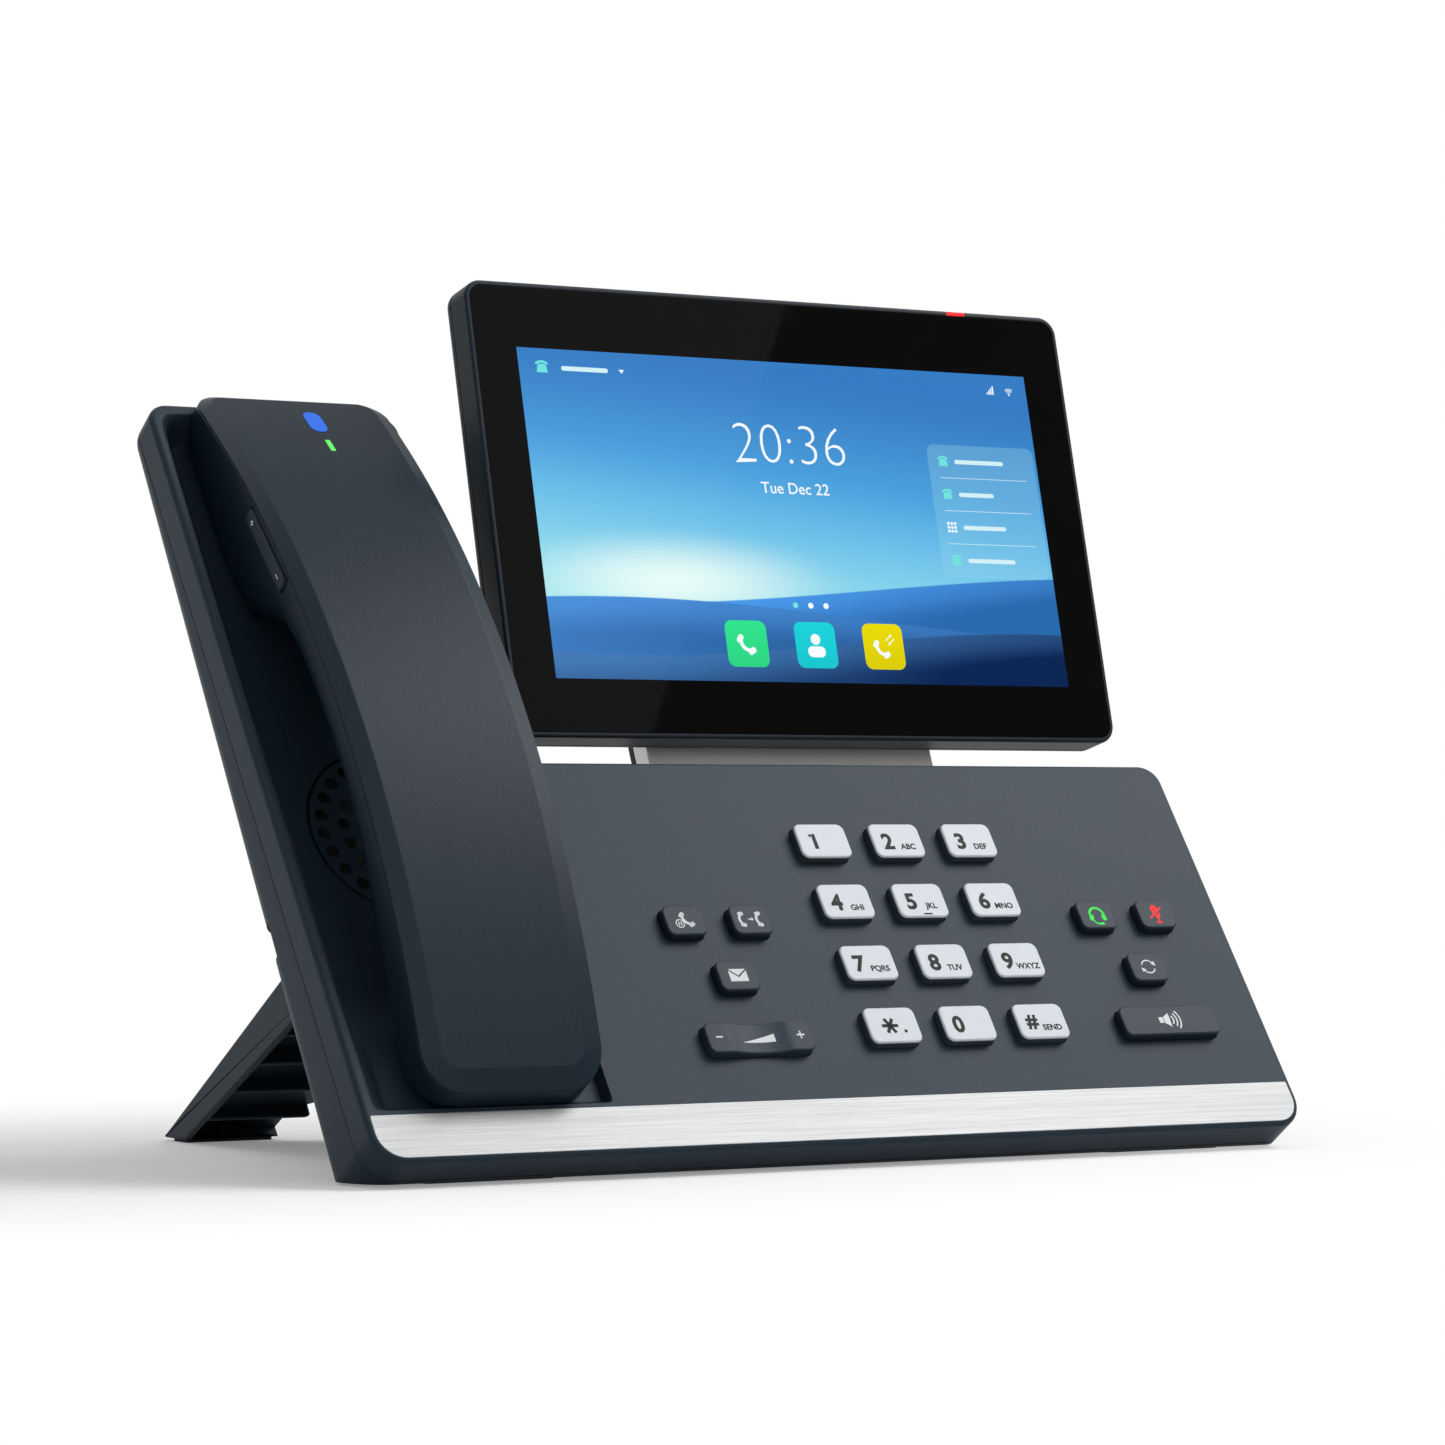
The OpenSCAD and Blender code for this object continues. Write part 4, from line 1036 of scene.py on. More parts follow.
class Repeat:
    """A Geometry Nodes tree that sets copies of a small solid on points."""

    def __init__(self, name: str, sizes: dict[str, float]) -> None:
        """Starts a tree with named inputs.

        Args:
            name: The tree's name.
            sizes: The inputs and their values.
        """
        tree = bpy.data.node_groups.new(name, "GeometryNodeTree")
        self.graph = Graph(tree)
        tree.interface.new_socket("Geometry", in_out="OUTPUT", socket_type="NodeSocketGeometry")
        self.sizes = sizes
        for label in sizes:
            tree.interface.new_socket(label, in_out="INPUT", socket_type="NodeSocketFloat")
        self.source = self.graph.add("NodeGroupInput")

    def size(self, label: str) -> Wire:
        """One of the tree's inputs."""
        return Wire(self.graph, self.source.outputs[label])

    def mesh(self, points: Wire, solid: Wire, finish: Finish) -> bpy.types.Mesh:
        """Closes the tree, runs it and returns its plain mesh.

        Args:
            points: Geometry whose points carry the copies.
            solid: Geometry of one copy.
            finish: The copies' finish.

        Returns:
            The mesh of all copies.
        """
        copies = self.graph.wire("GeometryNodeInstanceOnPoints", None, {
            "Points": points, "Instance": solid})
        real = self.graph.wire("GeometryNodeRealizeInstances", None, {"Geometry": copies})
        dressed = self.graph.wire("GeometryNodeSetMaterial", None, {
            "Geometry": real, "Material": finish.material()})
        self.graph.add("NodeGroupOutput", None, {0: dressed})
        item = linked("repeat", bpy.data.meshes.new("repeat"))
        change = item.modifiers.new("repeat", "NODES")
        change.node_group = self.graph.tree
        for entry in self.graph.tree.interface.items_tree:
            if entry.in_out == "INPUT":
                change[entry.identifier] = float(self.sizes[entry.name])
        return applied(item)


def ring_pins(counts: Sequence[int], pitch: float, first: float, radius: float, depth: float,
              finish: Finish) -> bpy.types.Mesh:
    """Round pins on rings about Z, as cutters for a perforated grille.

    Args:
        counts: Pins on each ring.
        pitch: Distance between rings.
        first: Radius of the innermost ring.
        radius: Radius of a pin.
        depth: Length of a pin.
        finish: Finish of the cut walls.

    Returns:
        The pins.
    """
    work = Repeat("perforation rings", {
        "Pitch": pitch, "First": first, "Radius": radius, "Depth": depth})
    graph = work.graph
    rings = []
    for k, count in enumerate(counts):
        reach = work.size("Pitch") * float(k) + work.size("First")
        rings.append(graph.wire("GeometryNodeMeshCircle", None, {
            "Vertices": count, "Radius": reach}))
    together = graph.add("GeometryNodeJoinGeometry")
    for ring in reversed(rings):
        graph.tree.links.new(ring.socket, together.inputs[0])
    pin = graph.wire("GeometryNodeMeshCylinder", None, {
        "Vertices": 20, "Radius": work.size("Radius"), "Depth": work.size("Depth")})
    return work.mesh(Wire(graph, together.outputs[0]), pin, finish)


def row_of_blades(count: int, pitch: float, size: Point3,
                  finish: Finish) -> bpy.types.Mesh:
    """Small blades in a row along X, centred, such as a socket's contacts.

    Args:
        count: How many blades.
        pitch: Their spacing.
        size: Width, length and height of a blade.
        finish: Their finish.

    Returns:
        The blades.
    """
    work = Repeat("contact row", {
        "Pitch": pitch, "Width": size[0], "Length": size[1], "Height": size[2]})
    graph = work.graph
    step = graph.wire("ShaderNodeCombineXYZ", None, {"X": work.size("Pitch")})
    start = graph.wire("ShaderNodeCombineXYZ", None, {
        "X": work.size("Pitch") * (-(count - 1) / 2)})
    line = graph.wire("GeometryNodeMeshLine", None, {
        "Count": count, "Start Location": start, "Offset": step})
    extent = graph.wire("ShaderNodeCombineXYZ", None, {
        "X": work.size("Width"), "Y": work.size("Length"), "Z": work.size("Height")})
    blade = graph.wire("GeometryNodeMeshCube", None, {"Size": extent})
    return work.mesh(line, blade, finish)


# ---- Places ----


@dataclass(frozen=True)
class Layout:
    """Shared places of the phone.

    The face frame has u across the face, v up its slope and w out of it. The screen frame has
    x across the screen, y up it and z out of its glass.
    """

    base_w: float = 259.0
    panel_h: float = 110.0
    strip_h: float = 217.6
    strip_w: float = 68.0
    corner_low: float = 8.0
    corner_high: float = 5.5
    tilt: float = 54.65
    lift: float = 6.2
    reach: float = 172.3
    split: float = 8.4
    panel_u: float = 167.5
    hinge_back: float = 51.7
    hinge_rise: float = 37.5
    screen_tilt: float = 76.1
    screen_w: float = 180.0
    screen_h: float = 118.3
    screen_d: float = 11.6
    screen_front_d: float = 8.0
    axis_up: float = 39.3
    axis_deep: float = 28.2

    def face(self) -> Matrix:
        """Matrix from the face frame to metres."""
        slope = Matrix.Rotation(math.radians(self.tilt), 4, "X")
        corner = Matrix.Translation((-self.base_w / 2, -self.reach / 2, self.lift))
        return Matrix.Scale(MM, 4) @ corner @ slope

    def screen(self) -> Matrix:
        """Matrix from the screen frame to metres."""
        slope = math.radians(self.tilt)
        pivot = Vector((
            self.panel_u - self.screen_w / 2 - self.base_w / 2,
            self.panel_h * math.cos(slope) + self.hinge_back - self.reach / 2,
            self.panel_h * math.sin(slope) + self.hinge_rise + self.lift,
        ))
        lean = Matrix.Rotation(math.radians(self.screen_tilt), 4, "X")
        seat = Matrix.Translation((0, -self.axis_up, self.axis_deep))
        return Matrix.Scale(MM, 4) @ Matrix.Translation(pivot) @ lean @ seat


class Assembly:
    """Base of the sub-assemblies: places pieces and dresses CAD nodes."""

    body = "base"

    def __init__(self, frame: dict, layout: Layout) -> None:
        """Keeps the frame and the layout.

        Args:
            layout: The shared places.
        """
        self.frame = frame
        self.layout = layout
        self.into = layout.face()

    def place(self, name: str, mesh: bpy.types.Mesh, finishes: Sequence[Finish], slot: str,
              replaces: Sequence[str] = (), body: str = "", into: Matrix | None = None,
              sharp: float = EDGE_ANGLE) -> None:
        """Makes a piece of the phone from a mesh in its assembly's frame.

        Args:
            name: The piece's name.
            mesh: Its mesh, in millimetres.
            finishes: Its finishes, by the mesh's finish numbers.
            slot: Not used.
            replaces: CAD nodes that it stands for.
            body: The body that it rides on, if not the assembly's own.
            into: Matrix to metres, if not the assembly's own.
            sharp: Angle above which an edge stays sharp.
        """
        body = body or self.body
        mesh.transform(into or self.into)
        numbers = [0] * len(mesh.polygons)
        mesh.polygons.foreach_get("material_index", numbers)
        mesh.materials.clear()
        for finish in finishes:
            mesh.materials.append(finish.material())
        mesh.polygons.foreach_set("material_index", [min(n, len(finishes) - 1) for n in numbers])
        mesh.shade_smooth()
        mesh.set_sharp_from_angle(angle=sharp)
        piece = linked(name, mesh)
        piece.modifiers.new("flat faces first", "WEIGHTED_NORMAL").keep_sharp = True
        piece.data = evaluated(piece)
        piece.data.name = name
        piece.modifiers.clear()
        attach(piece, body)
        if replaces:
            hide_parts(*replaces)
        LOG.info("%s: %d faces on %s", name, len(mesh.polygons), body)

    def dress(self, finishes: dict[str, Finish]) -> None:
        """Gives CAD nodes their finishes.

        Args:
            finishes: Finish by node name.
        """
        for node, finish in finishes.items():
            item = self.frame["nodes"][node]
            for holder in item.material_slots:
                holder.material = finish.material()
            LOG.info("%s: %s", node, finish.name)


# ---- Base ----


@dataclass(frozen=True)
class KeySpot:
    """Place and size of one key in the face frame."""

    name: str
    u: float
    v: float
    width: float
    height: float


@dataclass(frozen=True)
class BaseSizes:
    """Sizes of the base's visible forms."""

    rim_soft: float = 1.3
    rear_soft: float = 6.4
    rear_deep: float = 25.6
    rear_slope: float = 0.0507
    groove: float = 0.25
    wall: float = 2.2
    panel_t: float = 2.0
    tub_t: float = 1.8
    cradle_deep: float = 8.0
    cradle_left: float = 2.0
    cradle_right: float = 64.3
    wall_left: float = 6.0
    wall_right: float = 1.4
    cradle_low: float = 13.0
    cradle_top: float = 215.0
    ledge_deep: float = 3.1
    ledge_end: float = 26.0
    floor_start: float = 50.0
    key_gap: float = 0.3
    strip_low: float = 1.1
    strip_high: float = 12.4
    strip_rim: float = 1.4
    strip_t: float = 1.0
    speaker_u: float = 37.0
    speaker_v: float = 94.5
    contact_v: float = 21.3
    lid: float = 3.0
    ledge_rise: float = 2.8
    top_run: float = 5.4
    hole_corner: float = 2.3
    grille_counts: tuple[int, ...] = (4, 10, 17, 24)
    grille_pitch: float = 5.6
    grille_first: float = 3.36
    grille_hole: float = 1.7
    ring_outer: float = 24.0
    ring_inner: float = 23.2
    ring_deep: float = 0.7
    over: float = 0.03
    socket_us: tuple[float, ...] = (115.5, 137.5)
    socket_v: float = 38.5
    socket_w: float = -18.6
    blade: Point3 = (0.35, 9.0, 0.8)
    blade_pitch: float = 1.02


class Base(Assembly):
    """Front and rear housings, the metal strip, sockets, stand and neck."""

    sizes = BaseSizes()

    def outline(self) -> Outline:
        """Outline of the face: the panel with the taller handset strip at its left."""
        lay = self.layout
        corners = ((0.0, 0.0), (lay.base_w, 0.0), (lay.base_w, lay.panel_h),
                   (lay.strip_w, lay.panel_h), (lay.strip_w, lay.strip_h), (0.0, lay.strip_h))
        low, high, inner = lay.corner_low, lay.corner_high, 0.6
        return Outline(corners, (low, low, high, inner, high, high), 10, (40, 16, 28, 16, 10, 34))

    def cradle_depth(self, u: float, v: float, grow: float = 0.0) -> float:
        """Depth of the cradle's soft hollow under the face.

        Args:
            u: Place across.
            v: Place up the slope.
            grow: How far the hollow is widened, for the wall under it.

        Returns:
            The depth, 0 outside the hollow.
        """
        s = self.sizes
        across = smooth(u, s.cradle_left - grow, s.cradle_left + s.wall_left - grow)
        across *= 1.0 - smooth(u, s.cradle_right - s.wall_right + grow, s.cradle_right + grow)
        deep = s.ledge_deep * smooth(v, s.cradle_low - grow, s.cradle_low + s.ledge_rise - grow)
        fall = smooth(v, s.ledge_end - grow, s.floor_start - grow)
        deep += (s.cradle_deep - s.ledge_deep) * fall
        deep *= 1.0 - smooth(v, s.cradle_top - s.top_run + grow, s.cradle_top + grow)
        return deep * across

    def hollow(self, grow: float) -> bpy.types.Mesh:
        """Solid that fills the cradle, as a cutter.

        Args:
            grow: Widening of the hollow on all sides.

        Returns:
            The solid's mesh.
        """
        s = self.sizes
        left, right = s.cradle_left - grow, s.cradle_right + grow
        rim, edge = 0.3, 0.12
        us = [left - rim, *spread(left, left + s.wall_left, 12), *spread(left + 9, right - 6, 6),
              *spread(right - s.wall_right, right, 8), right + rim]
        low, top = s.cradle_low - grow, s.cradle_top + grow
        vs = [low - rim, *spread(low, low + s.ledge_rise, 8),
              *spread(low + 6, s.ledge_end - grow, 2),
              *spread(s.ledge_end + 1, s.floor_start, 14), *spread(60, top - 8, 8),
              *spread(top - s.top_run, top, 8), top + rim]
        shell = Shell()

        def under(u: float, v: float) -> float:
            """Height of the solid's underside, flat along its border."""
            if v in (vs[0], vs[-1]) or u in (us[0], us[-1]):
                return edge
            depth = self.cradle_depth(u, v, grow)
            return edge - depth - grow * min(1.0, depth)

        rows = [shell.ring([(u, v, under(u, v)) for u in us]) for v in vs]
        lids = [shell.ring([(u, v, s.lid) for u in us]) for v in vs]
        for a, b, c, d in zip(rows, rows[1:], lids, lids[1:]):
            for i in range(len(us) - 1):
                shell.face((a[i], b[i], b[i + 1], a[i + 1]))
                shell.face((c[i], c[i + 1], d[i + 1], d[i]))
            shell.face((a[0], c[0], d[0], b[0]))
            shell.face((a[-1], b[-1], d[-1], c[-1]))
        for low_row, lid_row, back in ((rows[0], lids[0], False), (rows[-1], lids[-1], True)):
            for i in range(len(us) - 1):
                side = (low_row[i], low_row[i + 1], lid_row[i + 1], lid_row[i])
                shell.face(tuple(reversed(side)) if back else side)
        return shell.mesh("hollow", repair=True)

    def front_housing(self, keys: Sequence[KeySpot]) -> None:
        """Builds the front housing with its soft cradle, key holes and grille."""
        s, lay = self.sizes, self.layout
        outline = self.outline()
        heights = [(s.groove, -lay.split), (0.0, s.groove - lay.split),
                   *upper_edge(s.rim_soft, 0.0, 5)]
        body = lofted(outline, heights).mesh("front")
        room = slab(outline, -lay.split - 2 * CLEAR, -s.panel_t, inset=s.wall)
        inside = combine(room, self.hollow(s.tub_t), Join.CUT)
        wider = 2 * s.key_gap
        holes = merged(*(
            slab(centred(key.u, key.v, key.width + wider, key.height + wider, s.hole_corner, 6),
                 -lay.split - CLEAR, CLEAR) for key in keys))
        strip = slab(self.strip_outline(), -s.strip_t, CLEAR, inset=-0.05)
        for tool in (self.hollow(0.0), inside, holes, strip, self.grille_cutters()):
            body = combine(body, tool, Join.CUT)
        self.place("base_front", body, (SLATE,), "housing", ("top_housing",))

    def strip_outline(self) -> Outline:
        """Outline of the metal strip."""
        s, lay = self.sizes, self.layout
        low, high = lay.corner_low - s.strip_rim, 0.5
        left, right = s.strip_rim, lay.base_w - s.strip_rim
        corners = ((left, s.strip_low), (right, s.strip_low),
                   (right, s.strip_high), (left, s.strip_high))
        return Outline(corners, (low, low, high, high), 8)

    def grille_cutters(self) -> bpy.types.Mesh:
        """Pins for the speaker's holes and the contacts, and the groove around the grille."""
        s = self.sizes
        pins = ring_pins(s.grille_counts, s.grille_pitch, s.grille_first, s.grille_hole, 8.0, SLATE)
        contacts = merged(*(
            slab(centred(s.speaker_u + du, s.contact_v, 3.1, 3.1, 1.54, 6), -8.0, -1.0)
            for du in (-5.0, 5.0)))
        groove = Shell()
        turns = spread(0, math.tau, 96)[:-1]
        rings = [groove.ring([(r * math.cos(a), r * math.sin(a), z) for a in turns])
                 for r, z in ((s.ring_outer, -s.ring_deep), (s.ring_outer, 0.0),
                              (s.ring_inner, 0.0), (s.ring_inner, -s.ring_deep))]
        for low, high in zip(rings, rings[1:] + rings[:1]):
            groove.skin(low, high)
        floor = -s.cradle_deep
        return merged(
            (pins, at(s.speaker_u, s.speaker_v, floor)), contacts,
            (groove.mesh("groove", repair=True), at(s.speaker_u, s.speaker_v, floor + 0.12)))

    def rear_housing(self) -> None:
        """Rounds the rear housing's edges with a soft envelope."""
        s, lay = self.sizes, self.layout
        outline = self.outline()
        rings = [[(u, v, s.rear_slope * v - s.rear_deep + (rise - s.over))
                  for u, v in outline.ring(inset - s.over)]
                 for inset, rise in lower_edge(s.rear_soft, 0.0, 6)]
        rings.append([(u, v, -lay.split - s.groove) for u, v in outline.ring(-s.over)])
        rings.append([(u, v, s.over - lay.split) for u, v in outline.ring(s.groove)])
        envelope = Shell().loft(rings).mesh("envelope")
        body = combine(node_copy(self.frame, "bottom_housing", self.into), envelope, Join.KEEP)
        self.place("base_rear", joined_flats(body), (SLATE,), "housing", ("bottom_housing",))

    def strip(self) -> None:
        """Builds the brushed strip with a fine bevel."""
        plate = slab(self.strip_outline(), -self.sizes.strip_t, 0.0, 0.16)
        self.place("metal_strip", plate, (STRIP_METAL,), "trim", ("trim_strip",))

    def soft_node(self, name: str, node: str, finish: Finish, slot: str, width: float,
                  shortest: float) -> None:
        """Softens a CAD node's long edges.

        Args:
            name: The piece's name.
            node: The node that it stands for.
            finish: Its finish.
            slot: The record's material slot.
            width: Width of the bevel.
            shortest: Shortest edge that is bevelled.
        """
        copy = node_copy(self.frame, node, self.into)
        self.place(name, softened(copy, width, shortest), (finish,), slot, (node,))

    def socket_contacts(self) -> None:
        """Adds the gold blades inside both network sockets."""
        s = self.sizes
        parts = [(row_of_blades(8, s.blade_pitch, s.blade, GOLD), at(u, s.socket_v, s.socket_w))
                 for u in s.socket_us]
        self.place("socket_contacts", merged(*parts), (GOLD,), "gold")

    def build(self, keys: Sequence[KeySpot]) -> None:
        """Builds the base's pieces and dresses its CAD nodes."""
        self.front_housing(keys)
        self.rear_housing()
        self.strip()
        self.soft_node("silver_neck", "neck", NECK_SILVER, "silver", 0.7, 12.0)
        self.soft_node("rear_stand", "stand", SLATE, "housing", 0.6, 9.0)
        self.socket_contacts()
        self.dress({
            "front_feet": PAD_RUBBER, "stand_feet": PAD_RUBBER,
            "housing_screws": STEEL, "neck_screws": STEEL, "charge_contacts": GOLD,
            "loudspeaker_frame": BLACK_PLASTIC, "loudspeaker_cone": CONE_PAPER,
            "keypad_membrane": DOME_SILICONE, "keypad_board": BOARD, "main_board": BOARD,
            "lan_socket": BLACK_PLASTIC, "pc_socket": BLACK_PLASTIC, "power_socket": BLACK_PLASTIC,
            "neck_cover": SLATE_DARK,
        })


def softened(mesh: bpy.types.Mesh, width: float, shortest: float) -> bpy.types.Mesh:
    """Bevels a CAD copy's long sharp edges.

    Args:
        mesh: The copy, in millimetres.
        width: Width of the bevel.
        shortest: Shortest edge that is bevelled.

    Returns:
        A new mesh.
    """
    work = bmesh.new()
    work.from_mesh(mesh)
    bmesh.ops.dissolve_limit(
        work, angle_limit=math.radians(0.6), verts=work.verts, edges=work.edges)
    weight = work.edges.layers.float.new("bevel_weight_edge")
    for edge in work.edges:
        if len(edge.link_faces) == 2 and edge.calc_length() >= shortest:
            if edge.is_convex and edge.calc_face_angle(0.0) > math.radians(50):
                edge[weight] = 1.0
    work.to_mesh(mesh)
    work.free()
    item = linked("soft", mesh)
    bevel = item.modifiers.new("bevel", "BEVEL")
    bevel.width = width
    bevel.segments = 3
    bevel.limit_method = "WEIGHT"
    bevel.use_clamp_overlap = False
    return applied(item)


# ---- Marks ----


class Marks:
    """Flat marks for keys and the screen, about their own centres, in millimetres."""

    @staticmethod
    def receiver() -> bpy.types.Mesh:
        """A telephone receiver, 3.6 tall, open to the right."""
        ends = [(pad(0.0, 0.0, 1.4, 0.95, 0.35, 3), at(-0.25, y, 0, turn))
                for y, turn in ((1.38, 12.0), (-1.38, -12.0))]
        return merged(stroke(arc(0.75, 0.0, 1.6, 115, 130), 0.6), *ends)

    @staticmethod
    def arrow(length: float = 1.3) -> bpy.types.Mesh:
        """A short arrow to the right."""
        tip = length / 2
        head = patch([(tip, 0.0), (tip - 0.55, 0.45), (tip - 0.55, -0.45)])
        return merged(stroke([(-tip, 0.0), (tip - 0.5, 0.0)], 0.26), head)

    @classmethod
    def hold(cls) -> bpy.types.Mesh:
        """A receiver with a circled pause sign."""
        bars = [(pad(x, 0, 0.22, 0.85, 0.05, 1), at(-1.25, -0.75)) for x in (-0.25, 0.25)]
        ring = stroke(arc(-1.25, -0.75, 0.85, 0, 360)[:-1], 0.2, True)
        return merged((cls.receiver(), at(0.55, 0.2, 0, 38, 0.95)), ring, *bars)

    @classmethod
    def transfer(cls) -> bpy.types.Mesh:
        """Two receivers with an arrow between them."""
        return merged((cls.receiver(), at(-1.9, 0, 0, 0, 0.95)), (cls.arrow(), at(-0.05, 0.0)),
                      (cls.receiver(), at(2.05, 0, 0, 0, 0.95)))

    @staticmethod
    def envelope() -> bpy.types.Mesh:
        """An envelope with its flap."""
        body = patch([(-2.05, -1.45), (2.05, -1.45), (2.05, 1.1), (0.0, -0.55), (-2.05, 1.1)])
        return merged(body, patch([(-1.95, 1.45), (0.0, -0.1), (1.95, 1.45)]))

    @staticmethod
    def headset() -> bpy.types.Mesh:
        """A headset with its microphone."""
        pads = [(pad(0, 0, 0.95, 1.4, 0.35, 3), at(x, -0.7, 0, turn))
                for x, turn in ((-1.45, -12), (1.45, 12))]
        boom = stroke(arc(0.1, -0.75, 1.45, 200, 75), 0.34)
        return merged(stroke(arc(0, -0.1, 1.62, -14, 208), 0.5), *pads, boom,
                      pad(0.5, -2.12, 1.1, 0.55, 0.25, 3))

    @staticmethod
    def muted() -> bpy.types.Mesh:
        """A microphone with a bar across it."""
        head = patch([(-0.8, 0.0), (-0.95, 1.3), (-0.75, 1.75), (-0.35, 2.0), (0.15, 2.0),
                      (0.5, 1.75), (0.6, 1.1)])
        cup = patch([(-0.4, -0.6), (0.85, 0.35), (0.85, -0.35), (0.5, -0.95), (0.05, -1.15),
                     (-0.25, -1.0)])
        stem, foot = pad(0.1, -1.5, 0.32, 0.8, 0.05, 1), pad(0.1, -2.0, 1.5, 0.36, 0.08, 2)
        return merged(head, cup, stem, foot, stroke([(-1.7, -1.0), (1.6, 1.5)], 0.4))

    @staticmethod
    def redial() -> bpy.types.Mesh:
        """Two arrows that chase each other round a circle."""
        half = merged(stroke(arc(0, 0, 1.55, 35, 125), 0.3),
                      patch([(1.95, 0.15), (1.75, 1.3), (0.85, 0.72)]))
        return merged(half, (half, at(0, 0, 0, 180)))

    @staticmethod
    def speaker() -> bpy.types.Mesh:
        """A loudspeaker with three waves."""
        box = patch([(-2.3, -0.55), (-1.45, -0.55), (-1.45, 0.55), (-2.3, 0.55)])
        cone = patch([(-1.3, -0.6), (-0.1, -1.35), (-0.1, 1.35), (-1.3, 0.6)])
        return merged(box, cone, *(stroke(arc(-0.55, 0, r, -42, 84), 0.27)
                                   for r in (1.15, 1.85, 2.55)))

    @staticmethod
    def desk_phone() -> bpy.types.Mesh:
        """A small telephone with its receiver on top."""
        body = patch([(-1.5, -1.4), (1.5, -1.4), (1.25, 0.2), (0.75, 0.75), (-0.75, 0.75),
                      (-1.25, 0.2)])
        return merged(body, stroke(arc(0, -0.9, 2.25, 45, 90, 12), 0.62))

    @staticmethod
    def keypad() -> bpy.types.Mesh:
        """Nine small squares."""
        return merged(*((pad(0, 0, 0.7, 0.7, 0.1, 1), at(x, y))
                        for x in (-1, 0, 1) for y in (-1, 0, 1)))

    @staticmethod
    def person() -> bpy.types.Mesh:
        """A plain head and shoulders mark."""
        return merged(disc(0, 1.5, 1.25, 24), pad(0, -1.35, 4.6, 2.5, 1.2, 6))

    @staticmethod
    def waves() -> bpy.types.Mesh:
        """Radio waves over a dot."""
        return merged(disc(0, -1.0, 0.36, 12),
                      *(stroke(arc(0, -1.1, r, 48, 84), 0.3) for r in (1.0, 1.7, 2.4)))

    @staticmethod
    def bars() -> bpy.types.Mesh:
        """Four rising bars of signal strength."""
        return merged(*(pad(k * 0.72 - 1.08, k * 0.36 - 0.9, 0.46, 0.7 + k * 0.72, 0.08, 1)
                        for k in range(4)))

    @staticmethod
    def bar(width: float, height: float) -> bpy.types.Mesh:
        """A rounded bar that stands for a line of text."""
        return pad(0, 0, width, height, height * 0.48, 4)


# ---- Keypad ----


@dataclass(frozen=True)
class KeypadSizes:
    """Sizes of the keys and of their grid."""

    number_w: float = 14.5
    number_h: float = 9.9
    pitch_u: float = 21.66
    pitch_v: float = 17.98
    top_v: float = 84.7
    small_w: float = 10.9
    small_h: float = 8.3
    small_pitch: float = 18.45
    long_w: float = 29.2
    left_u: float = 107.7
    right_u: float = 227.9
    row_a: float = 61.7
    row_b: float = 45.8
    rocker_v: float = 28.6
    speaker_v: float = 29.9
    rise: float = 2.5
    corner: float = 2.0
    foot: float = -2.9
    flange: float = 0.9
    flange_t: float = 0.8
    skirt: float = 1.75
    line: float = 0.1
    soft: float = 0.45
    dip: float = 1.1
    dip_radius: float = 30.0
    ink: float = 0.03
    digit_size: float = 6.3
    hash_size: float = 5.4
    digit_bold: float = 0.22
    digit_at: Point = (-2.95, -0.4)
    letter_size: float = 2.25
    letter_bold: float = 0.07
    letter_at: Point = (2.5, -1.95)
    sign_at: Point = (11.2, 0.1)
    sign_w: float = 0.42


